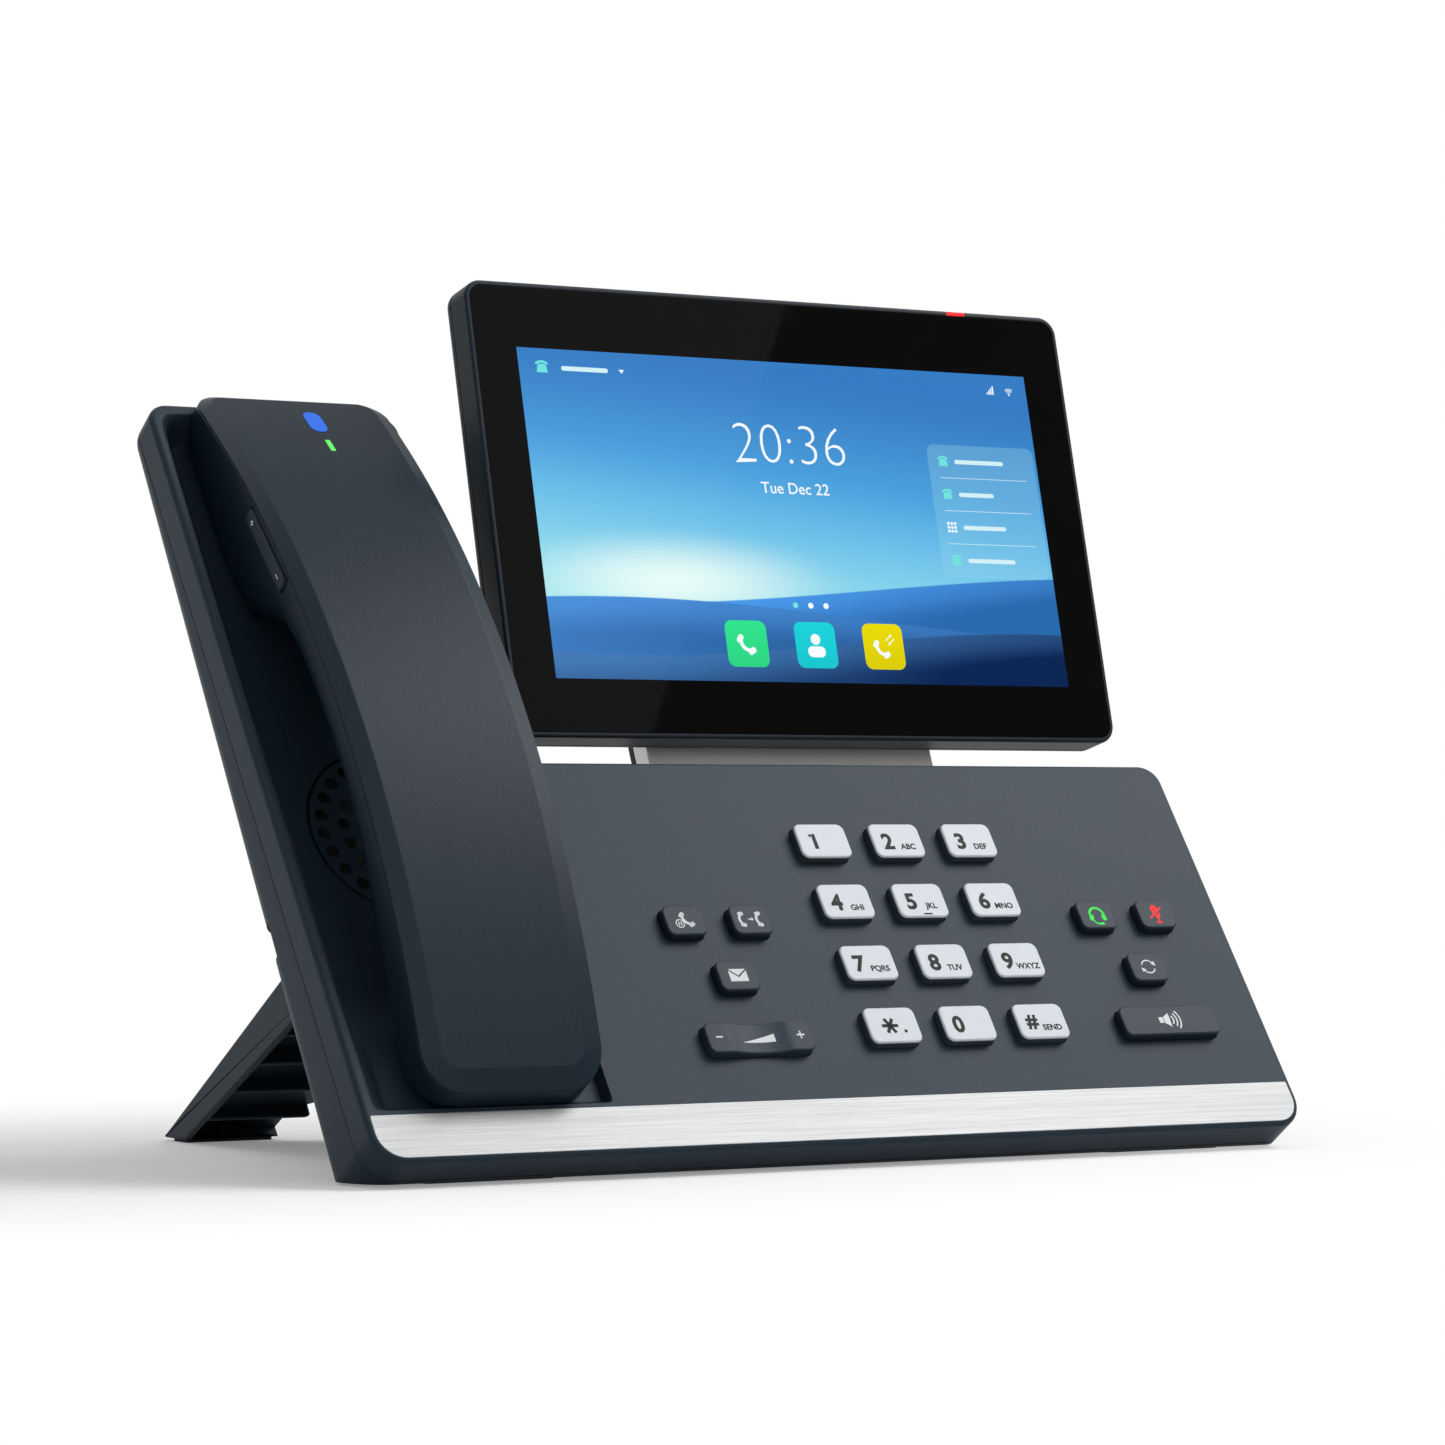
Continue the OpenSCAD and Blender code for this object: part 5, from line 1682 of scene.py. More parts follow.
class Keypad(Assembly):
    """Number keys, function keys and the volume rocker."""

    sizes = KeypadSizes()
    digits = (("1", "1", ""), ("2", "2", "ABC"), ("3", "3", "DEF"), ("4", "4", "GHI"),
              ("5", "5", "JKL"), ("6", "6", "MNO"), ("7", "7", "PQRS"), ("8", "8", "TUV"),
              ("9", "9", "WXYZ"), ("star", "*", ""), ("0", "0", ""), ("hash", "#", "SEND"))

    def number_spots(self) -> list[KeySpot]:
        """Places of the twelve number keys."""
        s = self.sizes
        return [KeySpot(f"key_{name}", self.layout.panel_u + (k % 3 - 1) * s.pitch_u,
                        s.top_v - (k // 3) * s.pitch_v, s.number_w, s.number_h)
                for k, (name, _, _) in enumerate(self.digits)]

    def function_spots(self) -> list[KeySpot]:
        """Places of the seven function keys."""
        s = self.sizes
        half = s.small_pitch / 2
        return [
            KeySpot("key_hold", s.left_u - half, s.row_a, s.small_w, s.small_h),
            KeySpot("key_transfer", s.left_u + half, s.row_a, s.small_w, s.small_h),
            KeySpot("key_message", s.left_u, s.row_b, s.small_w, s.small_h),
            KeySpot("key_headset", s.right_u - half, s.row_a, s.small_w, s.small_h),
            KeySpot("key_mute", s.right_u + half, s.row_a, s.small_w, s.small_h),
            KeySpot("key_redial", s.right_u, s.row_b, s.small_w, s.small_h),
            KeySpot("key_speaker", s.right_u, s.speaker_v, s.long_w, s.small_h),
        ]

    def rocker_spot(self) -> KeySpot:
        """Place of the volume rocker."""
        s = self.sizes
        return KeySpot("volume_rocker", s.left_u, s.rocker_v, s.long_w, s.small_h)

    def spots(self) -> list[KeySpot]:
        """Places of every key."""
        return [*self.number_spots(), *self.function_spots(), self.rocker_spot()]

    def cap(self, spot: KeySpot, top: Finish, slot: str) -> None:
        """Builds a key with its hidden flange, dark skirt and soft top edge.

        Args:
            spot: Where the key stands.
            top: Finish of its top.
            slot: The record's material slot.
        """
        s = self.sizes
        outline = centred(spot.u, spot.v, spot.width, spot.height, s.corner, 7)
        sides = [(-s.flange, s.foot), (-s.flange, s.foot + s.flange_t), (0.0, s.foot + s.flange_t),
                 (0.0, s.skirt), (s.line, s.skirt + 0.06)]
        tops = [(s.line, s.skirt + 0.14), (0.0, s.skirt + 0.2), *upper_edge(s.soft, s.rise, 5)]
        cap = lofted(outline, sides + tops, [0] * len(sides) + [1] * len(tops)).mesh(spot.name)
        side = KEY_SIDE if top is KEY_SILVER else SLATE_DARK
        self.place(spot.name + "_cap", cap, (side, top), slot, (spot.name,), spot.name)

    def print_on(self, spot: KeySpot, flat: bpy.types.Mesh, ink: Finish,
                 height: Callable[[float], float] | None = None) -> None:
        """Prints a flat mark on a key's top.

        Args:
            spot: The key.
            flat: The mark about the key's centre.
            ink: Its finish.
            height: Drop of the top by distance from the key's centre, on a hollow key.
        """
        s = self.sizes
        mark = raised(flat, MARK_T)
        for vertex in mark.vertices:
            drop = height(vertex.co.x) if height else 0.0
            vertex.co.z += s.rise + s.ink - drop
        self.place(f"{spot.name}_print", mark, (ink,), "", (), spot.name,
                   self.into @ at(spot.u, spot.v))

    def number_key(self, spot: KeySpot, digit: str, letters: str) -> None:
        """Builds a number key and prints its digit and letters."""
        s = self.sizes
        self.cap(spot, KEY_SILVER, "key_light")
        if digit == "*":
            arm = stroke([(-2.3, 0), (2.3, 0)], 0.9)
            parts = [(arm, at(-1.0, -0.3, 0, turn)) for turn in (0, 60, 120)]
            parts.append((disc(0, 0, 0.46, 16), at(3.0, -1.9)))
        elif digit == "1":
            parts = [(stroke([(-1.0, 1.45), (0.2, 2.0), (0.2, -2.3)], 1.1), at(-2.75, -0.25))]
        else:
            size = s.hash_size if digit == "#" else s.digit_size
            parts = [(lettering(digit, size, s.digit_bold), at(*s.digit_at))]
        if letters:
            parts.append((lettering(letters, s.letter_size, s.letter_bold), at(*s.letter_at)))
        if digit == "5":
            parts.append(pad(0.8, -4.1, 2.5, 0.42, 0.12, 2))
        self.print_on(spot, merged(*parts), INK_BLACK)

    def hollow_drop(self, x: float) -> float:
        """Depth of the volume rocker's hollow at a distance from its centre."""
        s = self.sizes
        rise = math.sqrt(s.dip_radius ** 2 - x * x) - (s.dip_radius - s.dip)
        return max(0.0, rise)

    def rocker(self) -> None:
        """Builds the hollow volume rocker with its marks."""
        s, spot = self.sizes, self.rocker_spot()
        outline = centred(spot.u, spot.v, spot.width, spot.height, s.corner, 7, (26, 1, 26, 1))
        under = s.foot + s.flange_t
        rings = [[(x, y, w - (self.hollow_drop(x - spot.u) if w > 0 else 0.0))
                  for x, y in outline.ring(inset)]
                 for inset, w in [(0.0, under), *upper_edge(s.soft, s.rise, 5)]]
        foot = slab(centred(spot.u, spot.v, 8.0, spot.height + 2 * s.flange, 1.0, 4),
                    s.foot - 0.1, under - 0.1)
        body = merged(Shell().loft(rings, seam=len(rings[0]) - 1).mesh("rocker"), foot)
        self.place("volume_rocker_cap", body, (KEY_DARK,), "key_dark", (spot.name,), spot.name)
        wedge, steps = bpy.data.meshes.new("wedge"), 18
        points = [(x, -1.15 + lift * (x + 4.8) * 0.24, 0.0)
                  for x in spread(-4.6, 4.4, steps) for lift in (0, 1)]
        quads = [(2 * k, 2 * k + 2, 2 * k + 3, 2 * k + 1) for k in range(steps)]
        wedge.from_pydata(points, [], quads)
        minus, plus = (stroke([(-half, 0), (half, 0)], s.sign_w) for half in (0.95, 1.05))
        x, y = s.sign_at
        marks = merged(wedge, (minus, at(-x, y)), (plus, at(x, y)), (plus, at(x, y, 0, 90)))
        self.print_on(spot, marks, INK_WHITE, self.hollow_drop)

    def build(self) -> None:
        """Builds every key."""
        for spot, (_, digit, letters) in zip(self.number_spots(), self.digits):
            self.number_key(spot, digit, letters)
        marks = ((Marks.hold, INK_WHITE, 1.3), (Marks.transfer, INK_WHITE, 1.2),
                 (Marks.envelope, INK_WHITE, 1.2), (Marks.headset, INK_GREEN, 1.3),
                 (Marks.muted, INK_RED, 1.3), (Marks.redial, INK_WHITE, 1.2),
                 (Marks.speaker, INK_WHITE, 1.5))
        for spot, (mark, ink, scale) in zip(self.function_spots(), marks):
            self.cap(spot, KEY_DARK, "key_dark")
            self.print_on(spot, merged((mark(), at(0, 0, 0, 0, scale))), ink)
        self.rocker()


# ---- Screen ----


@dataclass(frozen=True)
class ScreenSizes:
    """Sizes of the screen's housing, glass and picture."""

    corner: float = 5.0
    rim: float = 1.3
    glass_t: float = 1.0
    picture_x: float = 12.9
    picture_y: float = 15.0
    picture_w: float = 154.2
    picture_h: float = 85.9
    light_x: float = 148.0
    light_w: float = 5.6
    light_low: float = 3.4
    front_soft: float = 0.8
    back_soft: float = 2.6
    wall: float = 1.8
    ear_t: float = 9.0
    ear_gap: float = 0.3
    neck_w: float = 86.0
    pin_r: float = 3.01
    groove: float = 0.22
    ear_r: float = 8.5
    screw_in: float = 6.2
    screw_r: float = 3.0
    screw_deep: float = 1.9
    tile: float = 12.2
    tile_pitch: float = 20.6
    tile_y: float = 9.9
    dot_y: float = 20.4
    dot_pitch: float = 4.6
    bar_y: float = 5.0
    row_y: float = 24.9
    row_pitch: float = 9.05
    picture_lift: float = 0.04
    veil_lift: float = 0.06
    mark_lift: float = 0.09
    sign_lift: float = 0.12
    mark_t: float = 0.03


def sideways(x: float) -> Matrix:
    """Turns a solid's height along the screen's width, from x on."""
    return Matrix(((0, 0, 1, x), (1, 0, 0, 0), (0, 1, 0, 0), (0, 0, 0, 1)))


class Screen(Assembly):
    """Glass, lit picture, both screen housings and the status light."""

    sizes = ScreenSizes()
    body = "screen"

    def __init__(self, frame: dict, layout: Layout) -> None:
        """Works in the screen's own frame."""
        super().__init__(frame, layout)
        self.into = layout.screen()

    def outline(self) -> Outline:
        """Outline of the screen's housing."""
        return rectangle(0, 0, self.layout.screen_w, self.layout.screen_h, self.sizes.corner, 10)

    def front(self) -> None:
        """Builds the front housing: a slim rim around the glass."""
        s, lay, outline = self.sizes, self.layout, self.outline()
        heights = [(s.groove, -lay.screen_front_d), (0.0, s.groove - lay.screen_front_d),
                   *upper_edge(s.front_soft, 0.0, 4)]
        body = lofted(outline, heights).mesh("front")
        seat = slab(outline, -s.glass_t - 0.05, CLEAR, inset=s.rim - 0.1)
        window = slab(outline, -lay.screen_front_d - CLEAR, CLEAR, inset=s.rim + 2.2)
        for tool in (seat, window):
            body = combine(body, tool, Join.CUT)
        slot, lens = (
            slab(centred(s.light_x, lay.screen_h + 0.1, s.light_w + gap, 5.5 + gap, 0.1, 1),
                 -s.light_low - gap / 2, CLEAR) for gap in (0.1, 0.0))
        lens = combine(body, lens, Join.KEEP)
        body = combine(body, slot, Join.CUT)
        self.place("screen_rim", body, (SLATE_DARK,), "housing", ("screen_frame",))
        self.place("status_lens", lens, (LENS_RED,), "light_red", ("status_light",))

    def ear(self, x: float) -> bpy.types.Mesh:
        """One hinge ear from x on, in the screen's frame."""
        s, lay = self.sizes, self.layout
        low, root = -lay.axis_deep - s.ear_r, -lay.screen_d + 0.4
        corners = tuple((lay.axis_up + along, deep)
                        for along, deep in ((-11, root), (-7.6, low), (7.6, low), (11, root)))
        shape = Outline(corners, (0.3, 6.9, 6.9, 0.3), 10)
        solid = slab(shape, 0.0, s.ear_t, 0.7, soft_low=0.7)
        solid.transform(sideways(x))
        return solid

    def back(self) -> None:
        """Builds the rear housing with its hinge ears."""
        s, lay, outline = self.sizes, self.layout, self.outline()
        heights = [*lower_edge(s.back_soft, -lay.screen_d, 6),
                   (0.0, -lay.screen_front_d - s.groove), (s.groove, -lay.screen_front_d)]
        body = lofted(outline, heights).mesh("back")
        room = slab(outline, s.wall - lay.screen_d, CLEAR - lay.screen_front_d, inset=s.wall)
        body = combine(body, room, Join.CUT)
        middle, reach = lay.screen_w / 2, s.neck_w / 2
        for x in (middle - reach - s.ear_gap - s.ear_t, middle + reach + s.ear_gap):
            body = combine(body, self.ear(x), Join.ADD)
        pin = slab(centred(lay.axis_up, -lay.axis_deep, 2 * s.pin_r, 2 * s.pin_r, s.pin_r, 12),
                   -CLEAR, lay.screen_w + CLEAR)
        pin.transform(sideways(0))
        heads = merged(*(
            slab(centred(x, y, 2 * s.screw_r, 2 * s.screw_r, s.screw_r, 8),
                 -lay.screen_d - CLEAR, s.screw_deep - lay.screen_d)
            for x in (s.screw_in, lay.screen_w - s.screw_in)
            for y in (s.screw_in, lay.screen_h - s.screw_in)))
        for tool in (pin, heads):
            body = combine(body, tool, Join.CUT)
        self.place("screen_shell", body, (SLATE_DARK,), "housing", ("screen_back",))

    def glass(self) -> None:
        """Builds the cover glass with a fine ground edge."""
        s = self.sizes
        plate = slab(self.outline(), -s.glass_t, 0.0, 0.12, 2, inset=s.rim)
        self.place("cover_glass", plate, (GLASS,), "glass", ("screen_glass",))

    def lit(self, name: str, flat: bpy.types.Mesh, finish: Finish, height: float) -> None:
        """Lays a lit mark over the glass.

        Args:
            name: The piece's name.
            flat: The mark in the screen's frame.
            finish: Its finish.
            height: Height of its face over the glass.
        """
        mark = raised(flat, self.sizes.mark_t)
        low = [min(v.co[k] for v in mark.vertices) for k in (0, 1)]
        high = [max(v.co[k] for v in mark.vertices) for k in (0, 1)]
        layer = mark.uv_layers.new(name="face")
        for loop in mark.loops:
            point = mark.vertices[loop.vertex_index].co
            layer.data[loop.index].uv = [(point[k] - low[k]) / (high[k] - low[k]) for k in (0, 1)]
        mark.transform(Matrix.Translation((0, 0, height)))
        self.place(name, mark, (finish,), "display")

    def picture(self) -> None:
        """Builds the lit picture: wallpaper, clock, list, page dots and three tiles."""
        s = self.sizes
        x0, y0 = s.picture_x, s.picture_y
        x1, y1 = x0 + s.picture_w, y0 + s.picture_h
        middle = (x0 + x1) / 2
        self.lit("picture", patch([(x0, y0), (x1, y0), (x1, y1), (x0, y1)]), PICTURE,
                 s.picture_lift)
        veil = rectangle(x1 - 34.6, y1 - 56.7, x1 - 0.8, y1 - 20.3, 2.2, 5)
        self.lit("list_veil", patch(veil.ring()), MARK_VEIL, s.veil_lift)
        dot, dot_y = disc(0, 0, 0.78, 20), y0 + s.dot_y
        white = [
            (lettering("20:36", 15.9, -0.37), at(middle, y1 - 22.4)),
            (lettering("Tue Dec 22", 4.3, 0.02), at(middle, y1 - 34.2)),
            (Marks.waves(), at(x1 - 5.6, y1 - 4.7, 0, 0, 0.72)),
            (Marks.bars(), at(x1 - 11.6, y1 - 4.5, 0, 0, 0.85)),
            (patch([(0.0, -0.55), (0.8, 0.45), (-0.8, 0.45)]), at(x0 + 29.6, y1 - s.bar_y)),
            (Marks.keypad(), at(x1 - 29.9, y1 - 43.0, 0, 0, 1.05)),
            (dot, at(middle, dot_y)), (dot, at(middle + s.dot_pitch, dot_y)),
        ]
        soft = [(Marks.bar(13.5, 1.2), at(x0 + 18.9, y1 - s.bar_y))]
        teal = [(Marks.desk_phone(), at(x0 + 6.6, y1 - 4.9, 0, 0, 1.05)),
                (dot, at(middle - s.dot_pitch, dot_y))]
        for k, width in enumerate((15.5, 11.0, 13.5, 15.0)):
            y = y1 - s.row_y - s.row_pitch * k
            soft.append((Marks.bar(width, 1.15), at(x1 - 26.3 + width / 2, y)))
            if k < 3:
                soft.append(stroke([(x1 - 31.5, y - 4.5), (x1 - 4.0, y - 4.5)], 0.14))
            if k != 2:
                teal.append((Marks.desk_phone(), at(x1 - 29.9, y, 0, 0, 0.92)))
        for name, marks, finish in (("white_marks", white, MARK_WHITE),
                                    ("soft_marks", soft, MARK_SOFT),
                                    ("teal_marks", teal, MARK_TEAL)):
            self.lit(name, merged(*marks), finish, s.mark_lift)
        self.tiles(middle, y0 + s.tile_y)

    def tiles(self, x: float, y: float) -> None:
        """Builds the three tiles about a centre, with their signs."""
        s = self.sizes
        for k, finish in enumerate((TILE_GREEN, TILE_CYAN, TILE_YELLOW)):
            tile = pad(x + (k - 1) * s.tile_pitch, y, s.tile, s.tile, 2.1, 6)
            self.lit(f"tile_{k + 1}", tile, finish, s.mark_lift)
        call = merged((Marks.receiver(), at(0, 0, 0, 45, 1.65)))
        recent = merged((Marks.receiver(), at(-0.5, -0.5, 0, 45, 1.5)),
                        (Marks.arrow(2.5), at(1.8, 2.4, 0, 40)),
                        (Marks.arrow(2.5), at(2.5, 1.3, 0, 220)))
        signs = merged((call, at(x - s.tile_pitch, y)),
                       (Marks.person(), at(x, y - 0.2, 0, 0, 1.15)),
                       (recent, at(x + s.tile_pitch, y)))
        self.lit("tile_signs", signs, MARK_WHITE, s.sign_lift)

    def build(self) -> None:
        """Builds the screen's pieces and dresses its CAD nodes."""
        self.front()
        self.back()
        self.glass()
        self.picture()
        self.dress({"lcd_panel": BLACK_PLASTIC, "screen_board": BOARD,
                    "screen_screws": STEEL, "hinge_pin": STEEL})


# ---- Handset ----


@dataclass(frozen=True)
class HandsetSizes:
    """Sizes of the handset in the face frame."""

    u: float = 37.0
    low_v: float = 14.0
    high_v: float = 218.5
    half: float = 24.7
    flare: float = 0.0132
    flare_v: float = 130.0
    low_r: float = 10.0
    high_r: float = 7.0
    back_r: float = 295.0
    back_v: float = 112.0
    crown: float = 21.5
    cap_t: float = 1.8
    cap_edge: float = 0.6
    bevel: float = 4.6
    bevel_high: float = 1.6
    wall: float = 2.0
    mouth: float = -3.0
    ear: float = -7.9
    ear_start: float = 158.0
    top_start: float = 209.0
    top_end: float = 214.5
    top_slope: float = 1.49
    grip_v: float = 107.0
    grip_r: float = 173.0
    grip_w: float = 9.2
    groove: float = 0.28
    soft: float = 11.5
    light_u: float = 40.2
    pairing_v: float = 207.0
    charge_v: float = 197.0
    rocker_v: float = 161.5
    rocker_turn: float = 10.0
    rocker_l: float = 26.0
    rocker_h: float = 4.0
    rocker_out: float = 0.7
    rocker_gap: float = 0.6
    rocker_under: float = 3.6
    contact_v: float = 21.3
    microphone_v: float = 18.0
    earpiece_v: float = 186.0


class Handset(Assembly):
    """The wireless handset: cap, hollow body, side rocker and lights."""

    sizes = HandsetSizes()
    body = "handset"
    # Height of the side wall's lower edge along the handset, then the width of its rounding.
    edge_line = ((14.0, -0.4), (19.0, -0.7), (30.5, 1.2), (40.0, 5.3), (51.0, 8.5), (60.0, 10.6),
                 (74.0, 13.6), (90.0, 15.9), (103.0, 16.9), (120.0, 16.8), (133.0, 16.1),
                 (143.0, 13.5), (151.0, 11.0), (159.0, 6.0), (165.0, 0.0), (172.0, -4.0),
                 (180.0, -5.0), (205.0, -5.0), (211.0, -3.0), (215.5, 1.4), (218.5, 2.5))
    soft_line = ((14.0, 3.4), (30.0, 3.8), (45.0, 7.5), (60.0, 10.5), (90.0, 11.3),
                 (125.0, 11.3), (145.0, 9.5), (158.0, 5.5), (170.0, 4.0), (218.5, 4.0))

    @staticmethod
    def along(line: Sequence[Point], v: float) -> float:
        """Value of a smooth line through given points.

        Args:
            line: Pairs of place and value.
            v: The place.

        Returns:
            The value.
        """
        if v <= line[0][0]:
            return line[0][1]
        for k in range(len(line) - 1):
            if v <= line[k + 1][0]:
                break
        else:
            return line[-1][1]
        (v0, w0), (v1, w1) = line[k], line[k + 1]
        before, after = line[max(k - 1, 0)], line[min(k + 2, len(line) - 1)]
        span = v1 - v0
        slope0 = (w1 - before[1]) / (v1 - before[0]) * span
        slope1 = (after[1] - w0) / (after[0] - v0) * span
        t = (v - v0) / span
        return ((2 * t ** 3 - 3 * t ** 2 + 1) * w0 + (t ** 3 - 2 * t ** 2 + t) * slope0
                + (3 * t ** 2 - 2 * t ** 3) * w1 + (t ** 3 - t ** 2) * slope1)

    def half_at(self, v: float) -> float:
        """Half width at a height along the slope."""
        s = self.sizes
        return s.half + s.flare * (v - s.flare_v)

    def back_at(self, v: float) -> float:
        """Height of the parting curve at a height along the slope."""
        s = self.sizes
        return s.crown - s.back_r + math.sqrt(s.back_r ** 2 - (v - s.back_v) ** 2)

    def under_at(self, v: float) -> float:
        """Height of the underside at a height along the slope."""
        s = self.sizes
        arch = s.grip_w - s.grip_r + math.sqrt(max(0.0, s.grip_r ** 2 - (v - s.grip_v) ** 2))
        if v < s.grip_v:
            return max(s.mouth, arch)
        high = max(s.ear, min(arch, s.ear + s.ear_start - v))
        return high + max(0.0, min(v, s.top_end) - s.top_start) * s.top_slope

    def outline(self) -> Outline:
        """Outline of the handset over the face."""
        s = self.sizes
        h0, h1 = self.half_at(s.low_v), self.half_at(s.high_v)
        corners = ((s.u - h0, s.low_v), (s.u + h0, s.low_v),
                   (s.u + h1, s.high_v), (s.u - h1, s.high_v))
        return Outline(corners, (s.low_r, s.low_r, s.high_r, s.high_r), 12, (1, 90, 1, 90))

    def top_outline(self, inset: float) -> list[Point]:
        """Outline of the cap's flat top, moved inwards a little."""
        s = self.sizes
        h0, h1 = self.half_at(s.low_v) - s.bevel, self.half_at(s.high_v) - s.bevel * 0.75
        low, high = s.low_v + s.bevel, s.high_v - s.bevel_high
        corners = ((s.u - h0, low), (s.u + h0, low), (s.u + h1, high), (s.u - h1, high))
        radii = (s.low_r - s.bevel, s.low_r - s.bevel, s.high_r - 3.0, s.high_r - 3.0)
        return Outline(corners, radii, 12, (1, 90, 1, 90)).ring(inset)

    def cap(self) -> None:
        """Builds the cap: a thin edge, a bevel all round and a long curved top."""
        s, outline = self.sizes, self.outline()

        def lift(points: Iterable[Point], height: float) -> list[Point3]:
            """Sets points on the back curve, raised by a height."""
            return [(x, y, self.back_at(y) + height) for x, y in points]

        rings = [lift(outline.ring(inset), height) for inset, height in (
            (s.groove, 0.0), (0.0, 0.22), (0.0, s.cap_edge - 0.05), (0.1, s.cap_edge + 0.08))]
        rings += [lift(self.top_outline(inset), height) for inset, height in (
            (-0.22, s.cap_t - 0.09), (0.0, s.cap_t - 0.02), (0.3, s.cap_t))]
        body = Shell().loft(rings, seam=outline.arc_steps).mesh("cap")
        for v, width, height, corner in ((s.pairing_v, 4.7, 9.1, 0.499 * 4.7),
                                         (s.charge_v, 1.4, 4.7, 0.1)):
            tool = slab(centred(0, 0, width, height, corner, 10), -3, 6)
            tool.transform(self.light_place(v))
            body = combine(body, tool, Join.CUT)
        self.place("handset_back", body, (SHADED_HAND_SLATE,), "housing", ("handset_cap",),
                   sharp=CURVED_EDGE_ANGLE)

    def light_place(self, v: float) -> Matrix:
        """Place on the handset's back, z along its outward normal."""
        s = self.sizes
        lean = -math.asin((v - s.back_v) / s.back_r)
        return Matrix.Translation((s.light_u, v, self.back_at(v))) @ Matrix.Rotation(lean, 4, "X")

    def bowl(self, inset: float, floor: float, top: float) -> bpy.types.Mesh:
        """Closed form under the back curve, with a rounded lower edge.

        Args:
            inset: How far its sides lie inside the handset's outline.
            floor: How far its underside lies above the handset's.
            top: Height of its top over the back curve.

        Returns:
            The form's mesh.
        """
        s, outline = self.sizes, self.outline()
        outer, inner = outline.ring(inset), outline.ring(inset + s.soft)
        base = outline.ring(0.0)

        def level(angle: float) -> list[Point3]:
            """Ring at an angle of the lower rounding, 90 degrees at its foot."""
            points = []
            for (x, y), (ix, iy), (_, v) in zip(outer, inner, base):
                share = self.along(self.soft_line, v) * (1 - math.cos(angle)) / s.soft
                px, py = x + (ix - x) * share, y + (iy - y) * share
                edge = min(self.along(self.edge_line, v) + floor, self.back_at(py) - 1.2)
                low = min(self.under_at(py) + floor, edge - 0.02)
                points.append((px, py, edge - (edge - low) * math.sin(angle)))
            return points

        rings = [level(math.pi / 2 * k / 7) for k in range(7, -1, -1)]
        if top > 0:
            rings.append([(x, y, self.back_at(y) + top) for x, y in outer])
        else:
            rings.append([(x, y, self.back_at(y) - 0.24) for x, y in outer])
            rings.append([(x, y, self.back_at(y)) for x, y in outline.ring(inset + s.groove)])
        return Shell().loft(rings, seam=outline.arc_steps).mesh("bowl")

    def shell(self) -> None:
        """Builds the hollow body with its earpiece, microphone and contact holes."""
        s = self.sizes
        body = combine(self.bowl(0.0, 0.0, 0.0), self.bowl(s.wall, s.wall, 2.0), Join.CUT)
        contacts = [(s.u + x, s.contact_v, s.mouth, 1.55) for x in (-5, 5)]
        earpiece = [(s.u + x, s.earpiece_v + y, s.ear, 1.0) for x in (-6, 0, 6) for y in (-3, 3)]
        microphone = (s.u, s.microphone_v, s.mouth, 0.8)
        screws = [(s.u, 30.0, s.mouth, 3.0), (s.u - 6, 204.0, s.ear, 3.0)]
        holes = merged(*(slab(centred(x, y, 2 * r, 2 * r, r * 0.998, 8), low - 3, low + 5)
                         for x, y, low, r in (*contacts, *earpiece, microphone, *screws)))
        body = combine(body, holes, Join.CUT)
        slot = slab(centred(0, 0, s.rocker_l + s.rocker_gap, s.rocker_h + s.rocker_gap, 0.6, 4),
                    -3.5, 2.0)
        slot.transform(self.rocker_place())
        body = combine(body, slot, Join.CUT)
        self.place("handset_shell", body, (SHADED_HAND_SLATE,), "housing", ("handset_body",))

    def rocker_place(self) -> Matrix:
        """Place of the side rocker: x down its length, y up, z out of the handset's left side."""
        s = self.sizes
        v = s.rocker_v
        spot = Matrix.Translation((s.u - self.half_at(v), v, self.back_at(v) - s.rocker_under))
        turned = Matrix(((0, 0, -1, 0), (-1, 0, 0, 0), (0, 1, 0, 0), (0, 0, 0, 1)))
        return spot @ Matrix.Rotation(math.radians(-s.rocker_turn), 4, "X") @ turned

    def rocker(self) -> None:
        """Builds the side rocker with its two marks."""
        s = self.sizes
        body, place = "handset_rocker", self.into @ self.rocker_place()
        key = slab(centred(0, 0, s.rocker_l, s.rocker_h, 1.1, 6), -1.3, s.rocker_out, 0.45)
        self.place("side_rocker", key, (KEY_DARK,), "dark_plastic", ("handset_rocker",), body,
                   place)
        minus = stroke([(-0.8, 0), (0.8, 0)], 0.32)
        marks = merged((minus, at(-9.5, 0)), (minus, at(-9.5, 0, 0, 90)), (minus, at(9.5, 0)))
        over = place @ Matrix.Translation((0, 0, s.rocker_out + 0.02))
        self.place("side_rocker_print", raised(marks, MARK_T), (INK_WHITE,), "", (), body, over)

    def build(self) -> None:
        """Builds the handset's pieces and dresses its CAD nodes."""
        self.cap()
        self.shell()
        self.rocker()
        self.dress({"handset_board": BOARD, "handset_battery": FOIL, "earpiece": BLACK_PLASTIC,
                    "microphone": STEEL, "handset_contacts": GOLD, "pairing_light": LENS_BLUE,
                    "charge_light": LENS_GREEN, "handset_screws": STEEL})


# ---- Studio ----


@dataclass(frozen=True)
class Lamp:
    """A soft square lamp.

    Attributes:
        name: The lamp's name.
        place: Where it stands, in metres.
        aim: What it points at.
        width: Its width.
        power: Its power in watts.
        height: Its height, or nothing for a square lamp.
        spin: Its turn about its own aim, in degrees.
        shine_only: Whether it lights nothing and shows in gloss alone.
    """

    name: str
    place: Point3
    aim: Point3
    width: float
    power: float
    height: float = 0.0
    spin: float = 0.0
    shine_only: bool = False


